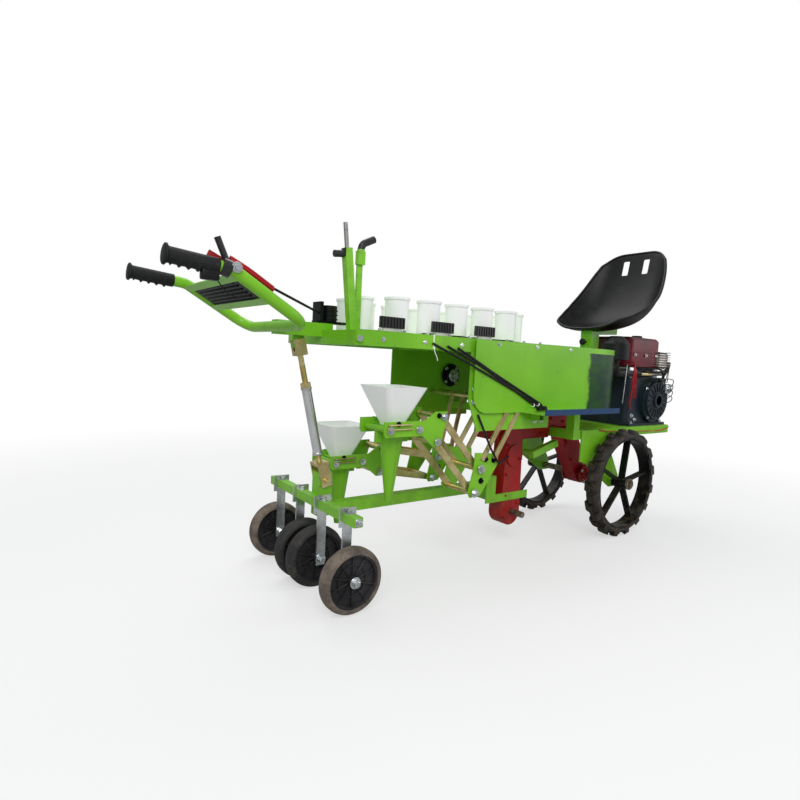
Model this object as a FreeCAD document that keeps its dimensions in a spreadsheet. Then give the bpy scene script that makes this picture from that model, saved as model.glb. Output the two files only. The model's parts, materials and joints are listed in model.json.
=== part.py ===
"""Two-row vegetable transplanter: walk-behind handlebar, ride-on seat, cup loop and duckbill planters.

+X points to the engine end, -X to the handlebar, Y is across the rows and Z is up from the ground.
Lengths are millimetres. Distances called back or ahead are measured along X from the drive axle.
"""
import FreeCAD, Part
import math
import os
import re
import Sketcher
from FreeCAD import Placement, Rotation, Vector

doc = FreeCAD.newDocument("transplanter")
dims = doc.addObject("Spreadsheet::Sheet", "dims")

DIMENSIONS = {
    # datum: the drive axle's place in front of the middle of the machine
    "axle_x": 772,
    # drive wheels
    "wheel_radius": 250, "wheel_y": 245, "tyre_width": 64, "tyre_inner": 212, "rim_inner": 202,
    "hub_radius": 24, "hub_length": 68, "axle_radius": 15, "spoke_width": 30, "spoke_thick": 10,
    "spoke_count": 5, "running_gap": 0.05,
    # press wheels
    "press_back": 1485, "press_radius": 103, "press_width": 50, "press_outer_y": 275, "press_inner_y": 45,
    "press_tyre_inner": 84, "press_web": 10, "press_hub_radius": 17, "press_pin_radius": 8,
    "hanger_offset": 34, "hanger_thick": 6, "hanger_width": 32, "press_bar_half": 305,
    "press_bar_side": 30, "press_bar_z": 288, "press_rim_edge": 6, "hanger_head": 14,
    # lower beam and rear post
    "beam_side": 40, "beam_z": 248, "beam_front_back": 700, "post_side": 50, "post_top": 378,
    "link_pin_radius": 8, "case_plate_rear_back": 746, "case_plate_low": 204, "case_plate_high": 315,
    "case_plate_leg": 48, "case_plate_thick": 6,
    # screw link from the stem to the rear post
    "link_top_back": 1554, "link_top_z": 812, "link_low_back": 1445, "link_low_z": 350,
    "link_tube_radius": 16, "link_rod_radius": 9, "link_nut_radius": 17, "link_tube_start": 92,
    "link_tube_length": 232, "link_lug_half": 6, "link_nut_high": 16, "yoke_wide": 40, "yoke_thick": 6,
    "yoke_high": 84, "yoke_bridge": 54, "yoke_bridge_thick": 10, "clevis_wide": 36, "clevis_deep": 42,
    "clevis_high": 54, "clevis_pin_radius": 6,
    # top frame and deck
    "rail_top": 857, "rail_side": 40, "rail_high": 45, "rail_y": 215, "rail_rear_back": 1480,
    "rail_front_back": 290, "sheet_thick": 3, "deck_front_back": 600, "drop_hole_radius": 46,
    "stem_width": 45, "stem_low": 835, "stem_high": 880,
    # handlebar
    "bar_radius": 17, "bar_y": 222, "bar_base_back": 1637, "bar_base_z": 858, "bar_bend_back": 1850,
    "bar_bend_z": 983, "bar_end_back": 2012, "bar_end_z": 999, "bar_bend_radius": 60,
    "grip_radius": 21, "grip_length": 125, "grip_flange_radius": 27, "grip_flange": 9,
    "strap_low_share": 0.54, "strap_high_share": 0.95, "strap_width": 26, "strap_thick": 5,
    "lever_back": 1869, "lever_z": 1000, "lever_y": 192, "lever_thick": 8,
    # side plates, hood and foot boards
    "plate_thick": 5, "side_plate_y": 235, "side_plate_rear_back": 1006, "side_plate_front_back": 560,
    "side_plate_low": 530, "hood_y": 247, "hood_rear_back": 994, "hood_low": 595,
    "hood_straight_back": 230, "hood_curve_radius": 300, "hood_curve_angle": 38,
    "tray_rear_back": 740, "tray_front_back": 262, "tray_width": 117, "tray_z": 595, "tray_lip": 22,
    "tray_tube_back": 648, "tray_tube_side": 30, "tray_tube_inset": 78, "hood_corner": 70,
    # engine frame
    "frame_side": 40, "frame_y": 180, "frame_top": 500, "frame_rear_back": 330, "frame_front": 480,
    "bracket_rear_back": 275, "bracket_thick": 6,
    # transmission
    "gearbox_rear_back": 660, "gearbox_front_back": 110, "gearbox_half": 75, "gearbox_low": 452,
    "gearbox_top": 562, "case_half": 32, "case_top_back": 123, "case_top_z": 443,
    "case_top_radius": 58, "case_low_radius": 48, "plant_case_back": 590, "plant_case_y": -65,
    "plant_case_radius": 57, "plant_case_low": 150, "plant_case_half": 35, "crank_radius": 13,
    # planting units
    "row_y": 167, "near_knee_back": 932, "near_knee_z": 391, "far_knee_back": 850, "far_knee_z": 370,
    "pivot_dx": -25, "pivot_dz": -86, "arm_length": 270, "near_angle": 46.5, "far_angle": 10,
    "plate_gap": 68, "arm_bar_y": 58, "arm_bar_thick": 6, "arm_bar_high": 25, "pin_radius": 6,
    "boss_radius": 11, "hopper_reach": 165, "funnel_side": 168, "funnel_top": 98, "funnel_throat": -30,
    "neck_radius": 32, "neck_low": -52, "funnel_wall": 4, "jaw_top": -60, "jaw_tip": -290,
    "jaw_top_radius": 42, "jaw_tip_radius": 12, "jaw_wall": 4, "jaw_pin_dx": 58, "jaw_pin_dz": -40,
    "jaw_pin_radius": 5, "jaw_boss_radius": 10, "shaft_back": 784, "shaft_z": 638, "strut_step": 62,
    "strut_wide": 20, "strut_thick": 6, "shaft_radius": 8,
    # cup loop
    "loop_rear_back": 1200, "loop_front_back": 760, "loop_radius": 148, "cup_count": 14,
    "cup_radius": 40, "cup_rim": 4, "cup_rim_high": 8, "cup_wall": 3, "cup_height": 110, "cup_lift": 8,
    "track_thick": 8, "guide_long": 92, "guide_high": 36, "guide_thick": 12, "guide_lift": 10,
    # seat
    "seat_front": -36, "seat_low": 955, "seat_post_back": 5, "seat_post_side": 62,
    "seat_half_width": 232, "seat_wall": 6, "seat_slot_y": 56, "seat_slot_wide": 26, "seat_slot_high": 62,
    # engine
    "engine_rear": 140, "engine_length": 335, "engine_half_width": 140, "engine_centre_y": -20,
    "engine_case_high": 230, "engine_foot_high": 12, "engine_corner": 26, "barrel_long": 140,
    "barrel_wide": 160, "barrel_high": 70, "barrel_ahead": 60, "fin_count": 5, "fin_pitch": 12, "fin_thick": 5,
    "fin_out": 20, "flywheel_radius": 112, "flywheel_ahead": 215, "flywheel_z": 128, "tank_long": 300,
    "tank_wide": 250, "tank_high": 146, "tank_lift": 52, "tank_corner": 40,
    "cleaner_ahead": 20, "cleaner_y": -150, "cleaner_radius": 62, "cleaner_z": 822, "cleaner_high": 74,
    "cleaner_cone": 36, "cleaner_cap": 30, "duct_radius": 22,
    # posts, levers and cables
    "marker_back": 1420, "marker_y": -110, "marker_lean": 6.8, "marker_side": 26, "marker_high": 258,
    "marker_rod_radius": 7, "marker_rod_length": 78, "lift_back": 1388, "lift_y": -88, "lift_high": 262,
    "cable_radius": 4, "cable_bend": 60, "cable_end_z": 608,
}
for row, (alias, value) in enumerate(DIMENSIONS.items(), start=1):
    dims.set(f"A{row}", alias)
    dims.set(f"B{row}", str(value))
    dims.setAlias(f"B{row}", alias)
doc.recompute()
nodes = {}


# ---------------------------------------------------------------- small modelling tools

def size(alias):
    """A driving dimension's number."""
    return float(dims.get(alias))


def named(expression):
    """An expression on aliases, written for FreeCAD with the sheet's name before each alias."""
    return re.sub(r"[a-z][a-z_]+", lambda m: "dims." + m[0] if m[0] in DIMENSIONS else m[0], str(expression))


def number(expression):
    """What such an expression comes to."""
    result = dims.evalExpression(named(expression))
    return float(getattr(result, "Value", result))


def back(distance):
    """The X of a place that lies a distance behind the drive axle."""
    return f"axle_x - ({distance})"


def block(x, y, z, label="block"):
    """A box between the low and high expressions of each axis."""
    box = doc.addObject("Part::Box", label)
    for prop, axis, (low, high) in zip(("Length", "Width", "Height"), "xyz", (x, y, z)):
        box.setExpression(prop, named(f"({high}) - ({low})"))
        box.setExpression(f"Placement.Base.{axis}", named(low))
    return box


TURNS = {"x": Rotation(Vector(0, 1, 0), 90), "y": Rotation(Vector(1, 0, 0), -90), "z": Rotation()}


def rod(axis, radius, length, start, label="rod"):
    """A cylinder along an axis from its start point's expressions."""
    cylinder = doc.addObject("Part::Cylinder", label)
    cylinder.Placement = Placement(Vector(), TURNS[axis])
    cylinder.setExpression("Radius", named(radius))
    cylinder.setExpression("Height", named(length))
    for name, value in zip("xyz", start):
        cylinder.setExpression(f"Placement.Base.{name}", named(value))
    return cylinder


def join(parts, label="joined"):
    """One fused object of several."""
    fuse = doc.addObject("Part::MultiFuse", label)
    fuse.Shapes = list(parts)
    fuse.Refine = True
    return fuse


def cut(base, tools, label="cut_part"):
    """The base less all the tools."""
    result = doc.addObject("Part::Cut", label)
    result.Base = base
    result.Tool = tools[0] if len(tools) == 1 else join(tools)
    return result


def mirrored(source, label="mirrored"):
    """The source's mirror image on the other side of the machine's middle plane."""
    image = doc.addObject("Part::Mirroring", label)
    image.Source = source
    image.Normal = Vector(0, 1, 0)
    return image


def both_sides(source, label="pair"):
    """The source and its mirror image as one object of two solids."""
    pair = doc.addObject("Part::Compound", label)
    pair.Links = [source, mirrored(source)]
    return pair


def shape_of(obj):
    """An object's recomputed shape."""
    doc.recompute()
    return obj.Shape


def feature(shape, label="feature", place=None):
    """A Part::Feature for a shape made with Part's own functions."""
    obj = doc.addObject("Part::Feature", label)
    obj.Shape = shape
    if place:
        obj.Placement = place
    return obj


def plane_of(body, role):
    return next(item for item in body.Origin.OriginFeatures if item.Role == role)


def outline(body, role, points, holes=()):
    """A sketch of a closed polygon and round holes, every point held to its expression."""
    sketch = body.newObject("Sketcher::SketchObject", "outline")
    sketch.AttachmentSupport = [(plane_of(body, role), "")]
    sketch.MapMode = "FlatFace"
    places = [Vector(number(u), number(v), 0) for u, v in points]
    for index, place in enumerate(places):
        sketch.addGeometry(Part.LineSegment(place, places[(index + 1) % len(places)]), False)
    for index, (u, v) in enumerate(points):
        following = (index + 1) % len(points)
        sketch.addConstraint(Sketcher.Constraint("Coincident", index, 2, following, 1))
        for kind, value in (("DistanceX", u), ("DistanceY", v)):
            hold(sketch, Sketcher.Constraint(kind, -1, 1, index, 1, number(value)), value)
    for u, v, radius in holes:
        index = sketch.addGeometry(Part.Circle(Vector(number(u), number(v), 0), Vector(0, 0, 1),
                                               number(radius)), False)
        hold(sketch, Sketcher.Constraint("Radius", index, number(radius)), radius)
        hold(sketch, Sketcher.Constraint("DistanceX", -1, 1, index, 3, number(u)), u)
        hold(sketch, Sketcher.Constraint("DistanceY", -1, 1, index, 3, number(v)), v)
    sketch.Visibility = False
    return sketch


def hold(sketch, constraint, expression):
    """Add a constraint and bind its value."""
    index = sketch.addConstraint(constraint)
    sketch.setExpression(f"Constraints[{index}]", named(expression))


def plate(points, thickness, centre_y, holes=(), label="plate"):
    """A flat plate cut to an outline in X and Z, its thickness centred on a Y."""
    body = doc.addObject("PartDesign::Body", label)
    pad = body.newObject("PartDesign::Pad", "thickness")
    pad.Profile = outline(body, "XZ_Plane", points, holes)
    pad.SideType = "Symmetric"
    pad.setExpression("Length", named(thickness))
    body.Tip = pad
    body.setExpression("Placement.Base.y", named(centre_y))
    return body


def turned(points, label="turned"):
    """A body turned about the Y axis from an outline of (along Y, radius) points."""
    body = doc.addObject("PartDesign::Body", label)
    sketch = outline(body, "XY_Plane", [(radius, along) for along, radius in points])
    spin = body.newObject("PartDesign::Revolution", "turn")
    spin.Profile = sketch
    spin.ReferenceAxis = (plane_of(body, "Y_Axis"), [""])
    spin.Angle = 360
    body.Tip = spin
    return body


def node(obj, name):
    """Register an object as a sub-part under its own name."""
    obj.Label = name
    nodes[name] = obj
    return obj


def placed(obj, x, y, z, turn=None):
    """Put an object at expressions' values, turned if asked."""
    obj.Placement = Placement(Vector(number(x), number(y), number(z)), turn or Rotation())
    return obj


def tube_path(points, radius, bend):
    """A round bar of straight runs whose corners are ring segments of one bend radius."""
    pieces = []
    start = points[0]
    for before, corner, after in zip(points, points[1:], points[2:]):
        inward, outward = (before - corner).normalize(), (after - corner).normalize()
        turn = math.pi - inward.getAngle(outward)
        reach = bend * math.tan(turn / 2)
        entry, leave = corner + inward * reach, corner + outward * reach
        centre = corner + (inward + outward).normalize() * (bend / math.cos(turn / 2))
        normal = (entry - centre).cross(leave - centre).normalize()
        first = (entry - centre).normalize()
        ring = Part.makeTorus(bend, radius, Vector(), Vector(0, 0, 1), 0, 360, math.degrees(turn))
        ring.Placement = Placement(centre, Rotation(first, normal.cross(first), normal, "ZXY"))
        pieces += [Part.makeCylinder(radius, (entry - start).Length, start, entry - start), ring]
        start = leave
    pieces.append(Part.makeCylinder(radius, (points[-1] - start).Length, start, points[-1] - start))
    return pieces[0].multiFuse(pieces[1:]).removeSplitter() if len(pieces) > 1 else pieces[0]


def capsule(x_one, z_one, r_one, x_two, z_two, r_two, half, label="capsule"):
    """A flat case whose outline is two round ends joined by tangent sides."""
    first, second = Vector(x_one, -half, z_one), Vector(x_two, -half, z_two)
    line = second - first
    tilt = math.acos((r_one - r_two) / line.Length)
    heading = math.atan2(line.z, line.x)
    ends = []
    for centre, radius in ((first, r_one), (second, r_two)):
        ends.append([centre + Vector(math.cos(heading + s * tilt), 0, math.sin(heading + s * tilt)) * radius
                     for s in (1, -1)])
    far_one = first - line.normalize() * r_one
    far_two = second + line.normalize() * r_two
    edges = [Part.Arc(ends[0][0], far_one, ends[0][1]).toShape(),
             Part.LineSegment(ends[0][1], ends[1][1]).toShape(),
             Part.Arc(ends[1][1], far_two, ends[1][0]).toShape(),
             Part.LineSegment(ends[1][0], ends[0][0]).toShape()]
    face = Part.Face(Part.Wire(edges))
    return feature(face.extrude(Vector(0, 2 * half, 0)), label)


def rounded(obj, radius, chosen, label="rounded"):
    """An object with the edges that a test picks rounded to a radius."""
    shape = shape_of(obj)
    fillet = doc.addObject("Part::Fillet", label)
    fillet.Base = obj
    fillet.Edges = [(index, radius, radius) for index, edge in enumerate(shape.Edges, start=1)
                    if chosen(edge)]
    return fillet


def along(axis):
    """A test for straight edges along an axis."""
    direction = {"x": Vector(1, 0, 0), "y": Vector(0, 1, 0), "z": Vector(0, 0, 1)}[axis]

    def test(edge):
        return edge.Curve.TypeId == "Part::GeomLine" and abs(abs(edge.Curve.Direction.dot(direction)) - 1) < 1e-6
    return test


def across(half, thick=None):
    """The low and high Y of something centred on the middle plane, or of the +Y wall."""
    return (f"{half}", f"{half} + {thick}") if thick else (f"-({half})", f"{half}")


# ---------------------------------------------------------------- drive wheels and axle

def drive_wheel(side, y):
    hub = turned([("-hub_length / 2", "axle_radius + running_gap"), ("hub_length / 2", "axle_radius + running_gap"),
                  ("hub_length / 2", "hub_radius"), ("-hub_length / 2", "hub_radius")], "hub")
    rim = turned([("-tyre_width / 2 + 4", "rim_inner"), ("tyre_width / 2 - 4", "rim_inner"),
                  ("tyre_width / 2 - 4", "tyre_inner"), ("-tyre_width / 2 + 4", "tyre_inner")], "rim_band")
    spokes = []
    for index in range(int(size("spoke_count"))):
        spoke = doc.addObject("Part::Box", "spoke")
        spoke.setExpression("Length", named("rim_inner - hub_radius + 4"))
        spoke.setExpression("Width", named("spoke_width"))
        spoke.setExpression("Height", named("spoke_thick"))
        turn = Rotation(Vector(0, 1, 0), 360 / size("spoke_count") * index - 82)
        corner = Vector(number("hub_radius - 2"), -number("spoke_width / 2"), -number("spoke_thick / 2"))
        spoke.Placement = Placement(turn.multVec(corner), turn)
        spokes.append(spoke)
    wheel = join([hub, rim] + spokes)
    node(placed(wheel, "axle_x", y, "wheel_radius"), f"{side}_drive_wheel")
    tyre = turned([("-tyre_width / 2", "tyre_inner"), ("tyre_width / 2", "tyre_inner"),
                   ("tyre_width / 2", "wheel_radius - 8"), ("tyre_width / 2 - 8", "wheel_radius"),
                   ("-tyre_width / 2 + 8", "wheel_radius"), ("-tyre_width / 2", "wheel_radius - 8")])
    node(placed(tyre, "axle_x", y, "wheel_radius"), f"{side}_drive_tyre")


drive_wheel("near", "-wheel_y")
drive_wheel("far", "wheel_y")

# ---------------------------------------------------------------- press wheels and their hangers

PRESS_WHEELS = {"far_outer": ("press_outer_y", -1), "far_inner": ("press_inner_y", 1),
                "near_inner": ("-press_inner_y", -1), "near_outer": ("-press_outer_y", 1)}


def press_wheel(name, y):
    bore = "press_pin_radius + running_gap"
    half, web = "press_width / 2", "press_web / 2"
    rim, flange = f"{half} - press_rim_edge", "press_tyre_inner - press_rim_edge"
    disc = turned([(f"-{half}", bore), (half, bore), (half, "press_hub_radius"), (web, "press_hub_radius"),
                   (web, flange), (rim, flange), (rim, "press_tyre_inner"), (f"-({rim})", "press_tyre_inner"),
                   (f"-({rim})", flange), (f"-{web}", flange), (f"-{web}", "press_hub_radius"),
                   (f"-{half}", "press_hub_radius")])
    node(placed(disc, back("press_back"), y, "press_radius"), f"{name}_press_disc")
    tyre = turned([(f"-{half}", "press_tyre_inner"), (half, "press_tyre_inner"), (half, "press_radius - 8"),
                   (f"{half} - 10", "press_radius"), (f"-{half} + 10", "press_radius"),
                   (f"-{half}", "press_radius - 8")])
    node(placed(tyre, back("press_back"), y, "press_radius"), f"{name}_press_tyre")


def press_hanger(y, side):
    """A strap that hangs from the bar beside its wheel, with the stub pin that the wheel turns on."""
    x = back("press_back")
    centre = f"{y} + {side} * hanger_offset"
    half_wide, half_head = "hanger_width / 2", "press_bar_side / 2 + hanger_head"
    strap = block((f"{x} - {half_wide}", f"{x} + {half_wide}"),
                  (f"{centre} - hanger_thick / 2", f"{centre} + hanger_thick / 2"),
                  ("press_radius - 20", "press_bar_z"))
    head = block((f"{x} - ({half_head})", f"{x} + {half_head}"),
                 (f"{centre} - hanger_thick / 2", f"{centre} + hanger_thick / 2"),
                 (f"press_bar_z - ({half_head})", f"press_bar_z + {half_head}"))
    window = block((f"{x} - press_bar_side / 2", f"{x} + press_bar_side / 2"),
                   (f"{centre} - hanger_thick", f"{centre} + hanger_thick"),
                   ("press_bar_z - press_bar_side / 2", "press_bar_z + press_bar_side / 2"))
    low = f"{centre} - {side} * hanger_thick / 2"
    length = "hanger_offset + press_width / 2 - hanger_thick / 2 + 6"
    start = f"{low} - ({length})" if side > 0 else low
    pin = rod("y", "press_pin_radius", length, (x, start, "press_radius"))
    return cut(join([strap, head, pin]), [window])


hangers = []
for name, (y, side) in PRESS_WHEELS.items():
    press_wheel(name, y)
    hangers.append(press_hanger(y, side))
hanger_set = doc.addObject("Part::Compound", "hanger_set")
hanger_set.Links = hangers
node(hanger_set, "press_hangers")

# ---------------------------------------------------------------- lower arm, rear post and screw link

bar_x = back("press_back")
bar = block((f"{bar_x} - press_bar_side / 2", f"{bar_x} + press_bar_side / 2"), across("press_bar_half"),
            ("press_bar_z - press_bar_side / 2", "press_bar_z + press_bar_side / 2"))
node(bar, "press_bar")


def rear_arm():
    """The lower beam, its upright post and the angled foot plate that bolts it to the planting case."""
    post_rear = f"{bar_x} + press_bar_side / 2"
    beam = block((post_rear, back("beam_front_back")), across("beam_side / 2"),
                 ("beam_z - beam_side / 2", "beam_z + beam_side / 2"))
    post = block((post_rear, f"{post_rear} + post_side"), across("post_side / 2"),
                 ("beam_z - beam_side / 2", "post_top"))
    cheek = "plant_case_y - plant_case_half"
    outer = f"{cheek} - case_plate_thick"
    end_plate = block((back("beam_front_back"), back("beam_front_back - case_plate_thick")),
                      (outer, "beam_side / 2"), ("case_plate_low", "case_plate_high"))
    plate_rear, plate_front = back("case_plate_rear_back"), back("plant_case_back - 94")
    leg_front, toe_top = f"{plate_rear} + case_plate_leg", "case_plate_low + 32"
    foot_plate = plate([(plate_rear, "case_plate_low"), (plate_front, "case_plate_low"), (plate_front, toe_top),
                        (leg_front, toe_top), (leg_front, "case_plate_high"), (plate_rear, "case_plate_high")],
                       "case_plate_thick", f"{cheek} - case_plate_thick / 2")
    bore = rod("y", "link_pin_radius", "post_side + 2", (back("link_low_back"), "-post_side / 2 - 1", "link_low_z"))
    return cut(join([beam, post, end_plate, foot_plate]), [bore])


node(rear_arm(), "rear_arm")


def screw_link():
    """The length screw between stem and post: a yoke, a tube, a lock nut, a rod and a clevis."""
    low = Vector(number(back("link_low_back")), 0, size("link_low_z"))
    high = Vector(number(back("link_top_back")), 0, size("link_top_z"))
    span = (high - low).Length
    lean = Rotation(Vector(0, 0, 1), high - low)
    place = Placement(low, lean)
    start, length = size("link_tube_start"), size("link_tube_length")
    tube = Part.makeCylinder(size("link_tube_radius"), length, Vector(0, 0, start))
    node(feature(tube, "tube", place), "link_tube")
    half, wide, thick = size("post_side") / 2, size("yoke_wide"), size("yoke_thick")
    bridge_low, bridge_thick = size("yoke_bridge"), size("yoke_bridge_thick")
    cheeks = [Part.makeBox(wide, thick, size("yoke_high"), Vector(-wide / 2, y, -wide / 2))
              for y in (half, -half - thick)]
    bridge = Part.makeBox(wide, 2 * (half + thick), bridge_thick, Vector(-wide / 2, -half - thick, bridge_low))
    pin_half = half + 3 * thick
    pin = Part.makeCylinder(size("link_pin_radius"), 2 * pin_half, Vector(0, -pin_half, 0), Vector(0, 1, 0))
    stub = Part.makeCylinder(size("link_rod_radius"), start - bridge_low - thick, Vector(0, 0, bridge_low + thick))
    yoke = cheeks[0].multiFuse([cheeks[1], bridge, pin, stub]).removeSplitter()
    nut = Part.makePolygon([Vector(math.cos(math.radians(a)), math.sin(math.radians(a)), 0)
                            * size("link_nut_radius") * 1.12 for a in range(0, 361, 60)])
    nut = Part.Face(Part.Wire(nut)).extrude(Vector(0, 0, size("link_nut_high")))
    nut.translate(Vector(0, 0, start + length))
    screw = Part.makeCylinder(size("link_rod_radius"), span - start - length - 30, Vector(0, 0, start + length))
    lug, wide, deep, high = size("link_lug_half"), size("clevis_wide"), size("clevis_deep"), size("clevis_high")
    clevis = Part.makeBox(wide, deep, high, Vector(-wide / 2, -deep / 2, span - 42))
    clevis = clevis.cut(Part.makeBox(2 * wide, 2 * lug, high, Vector(-wide, -lug, span - 26)))
    pin_half = deep / 2 + 5
    clevis = clevis.fuse(Part.makeCylinder(size("clevis_pin_radius"), 2 * pin_half, Vector(0, -pin_half, span),
                                           Vector(0, 1, 0)))
    head = nut.multiFuse([screw, clevis]).removeSplitter()
    node(feature(Part.makeCompound([yoke, head]), "ends", place), "link_ends")


screw_link()

# ---------------------------------------------------------------- top frame, deck and stem

rail_low = "rail_top - rail_high"
rear_x, front_x = back("rail_rear_back"), back("rail_front_back")
rail_inner = "rail_y - rail_side / 2"


def top_frame():
    """Two long rails, their cross members, the stem for the handlebar and the spine for the seat."""
    rail = block((rear_x, front_x), (rail_inner, "rail_y + rail_side / 2"), (rail_low, "rail_top"))
    middle = back("side_plate_rear_back")
    members = [block((x, f"{x} + rail_side"), across(rail_inner), (rail_low, "rail_top"))
               for x in (rear_x, middle, f"{front_x} - rail_side")]
    spine = block((front_x, back("seat_post_back - seat_post_side")), across("seat_post_side / 2"),
                  (rail_low, "rail_top"))
    base_x, base_z = back("bar_base_back"), "bar_base_z"
    stem = block((base_x, f"{rear_x} + rail_side"), across("stem_width / 2"), ("stem_low", "stem_high"))
    lug_x = back("link_top_back")
    lug = block((f"{lug_x} - 18", f"{lug_x} + 18"), across("link_lug_half"), ("link_top_z - 18", "stem_low"))
    saddle = rod("y", "bar_radius", "stem_width + 2", (base_x, "-stem_width / 2 - 1", base_z))
    lug_bore = rod("y", "6", "2 * link_lug_half + 2", (lug_x, "-link_lug_half - 1", "link_top_z"))
    return cut(join([rail, mirrored(rail), spine, stem, lug] + members), [saddle, lug_bore])


node(top_frame(), "top_frame")
deck_rear = f"{rear_x} + rail_side"
deck = block((deck_rear, back("deck_front_back")), across("rail_y + rail_side / 2"),
             ("rail_top", "rail_top + sheet_thick"))
drop_holes = [rod("z", "drop_hole_radius", "3 * sheet_thick",
                  (back("loop_rear_back"), f"{sign} * loop_radius", "rail_top - sheet_thick"))
              for sign in (-1, 1)]
node(cut(deck, drop_holes), "cup_deck")

# ---------------------------------------------------------------- handlebar


def handlebar():
    """One bent tube with two flat straps across it, its grips, its ribbed tray and its hand levers."""
    y, radius = size("bar_y"), size("bar_radius")

    def spot(distance, side, z):
        return Vector(number(back(distance)), side * y, size(z))
    route = [spot("bar_end_back", -1, "bar_end_z"), spot("bar_bend_back", -1, "bar_bend_z"),
             spot("bar_base_back", -1, "bar_base_z"), spot("bar_base_back", 1, "bar_base_z"),
             spot("bar_bend_back", 1, "bar_bend_z"), spot("bar_end_back", 1, "bar_end_z")]
    tube = tube_path(route, radius, size("bar_bend_radius"))
    base, bend = route[2], route[1]
    lean = Rotation(Vector(0, 1, 0), math.degrees(math.atan2(bend.z - base.z, base.x - bend.x)))

    def on_slope(share):
        return base + (bend - base) * share + Vector(0, y, 0)
    wide, thick, seat_z = size("strap_width"), size("strap_thick"), 1 - radius
    low_share, high_share = size("strap_low_share"), size("strap_high_share")
    straps = [Part.makeBox(wide, 2 * y, thick, Vector(-wide / 2, -y, seat_z)) for _ in range(2)]
    for strap, share in zip(straps, (low_share, high_share)):
        strap.Placement = Placement(on_slope(share), lean)
    node(feature(tube.multiFuse(straps), "handlebar"), "handlebar")
    node(feature(Part.makeCompound([grip(spot("bar_end_back", side, "bar_end_z"),
                                         spot("bar_bend_back", side, "bar_bend_z")) for side in (-1, 1)]),
                 "grips"), "handle_grips")
    long, half = (bend - base).Length * (high_share - low_share) - wide, y - radius - 12
    tray = Part.makeBox(long + wide, 2 * half, 4, Vector(-(long + wide) / 2, -half, seat_z + thick))
    ribs = [Part.makeBox(6, 2 * half, 4, Vector(x, -half, seat_z + thick + 4))
            for x in (-long / 2 + index * (long - 6) / 6 for index in range(7))]
    tray = tray.multiFuse(ribs).removeSplitter()
    tray.Placement = Placement(on_slope((low_share + high_share) / 2), lean)
    node(feature(tray, "tray"), "handle_tray")
    node(feature(Part.makeCompound(hand_levers(nodes["handlebar"].Shape)), "levers"), "hand_levers")


def grip(end, corner):
    """A rubber sleeve on one end of the handlebar, with a flange at its free end."""
    heading, length, flange = (corner - end).normalize(), size("grip_length"), size("grip_flange")
    sleeve = Part.makeCylinder(size("grip_radius"), length, end, heading)
    stop = Part.makeCylinder(size("grip_flange_radius"), flange, end - heading * flange, heading)
    core = Part.makeCylinder(size("bar_radius"), length + 1, end, heading)
    return sleeve.fuse(stop).cut(core).removeSplitter()


def hand_levers(tube):
    """The clutch blade and the throttle handle that share one pivot beside the near tube."""
    pivot = Vector(number(back("lever_back")), -size("lever_y"), size("lever_z"))
    thick, y = size("lever_thick"), size("bar_y")
    points = [(-40, 16), (-34, 30), (0, 15), (58, -14), (104, -44), (99, -54), (54, -32), (0, -10)]
    wire = Part.makePolygon([Vector(x, 0, z) for x, z in points + points[:1]])
    blade = Part.Face(wire).extrude(Vector(0, thick, 0)).translated(Vector(0, -thick / 2, 0))
    pin = Part.makeCylinder(7, y - size("lever_y") + 4, Vector(0, -thick / 2, 0), Vector(0, -1, 0))
    clutch = blade.fuse(pin).translated(pivot)
    perch = Vector(pivot.x, -y, pivot.z)
    rise = Vector(-24, 0, 54)
    clamp = Part.makeCylinder(size("bar_radius") + 6, 24, perch + Vector(-12, 0, -10), Vector(1, 0, -0.3))
    handle = Part.makeCylinder(8.5, rise.Length, perch + Vector(0, 0, 6), rise)
    return [clutch.cut(tube), handle.fuse(clamp).cut(tube).cut(clutch).removeSplitter()]


handlebar()


def stem_spool():
    """The ribbed control spool that stands on the stem, between two flanges on a foot."""
    x, z = number(back("1440")), size("stem_high")
    foot = Part.makeBox(116, 40, 8, Vector(x - 58, -20, z))
    flange = Part.makeBox(12, 54, 62, Vector(x - 52, -27, z + 8))
    drum = Part.makeCylinder(26, 52, Vector(x - 4, 0, z + 8))
    ribs = [Part.makeCylinder(29, 4, Vector(x - 4, 0, z + 14 + 14 * i)) for i in range(3)]
    arm = Part.makeBox(44, 14, 16, Vector(x - 42, -7, z + 36))
    node(feature(foot.multiFuse([flange, drum, arm] + ribs).removeSplitter(), "spool"), "stem_spool")


stem_spool()

# ---------------------------------------------------------------- side plates, hood and foot boards

plate_rear, plate_front = back("side_plate_rear_back"), back("side_plate_front_back")
side_plate = plate([(plate_rear, rail_low), (plate_rear, "side_plate_low + 110"),
                    (f"{plate_rear} + 48", "side_plate_low"), (plate_front, "side_plate_low"),
                    (plate_front, rail_low)], "plate_thick", "side_plate_y + plate_thick / 2",
                   [(back(f"shaft_back - {step}"), "shaft_z", "shaft_radius") for step in ("0", "strut_step")])
tube_window = block((back("tray_tube_back + tray_tube_side"), back("tray_tube_back")),
                    across("side_plate_y + 2 * plate_thick"), ("tray_z - tray_tube_side", "tray_z"))
node(cut(both_sides(side_plate), [tube_window]), "side_plates")


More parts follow.
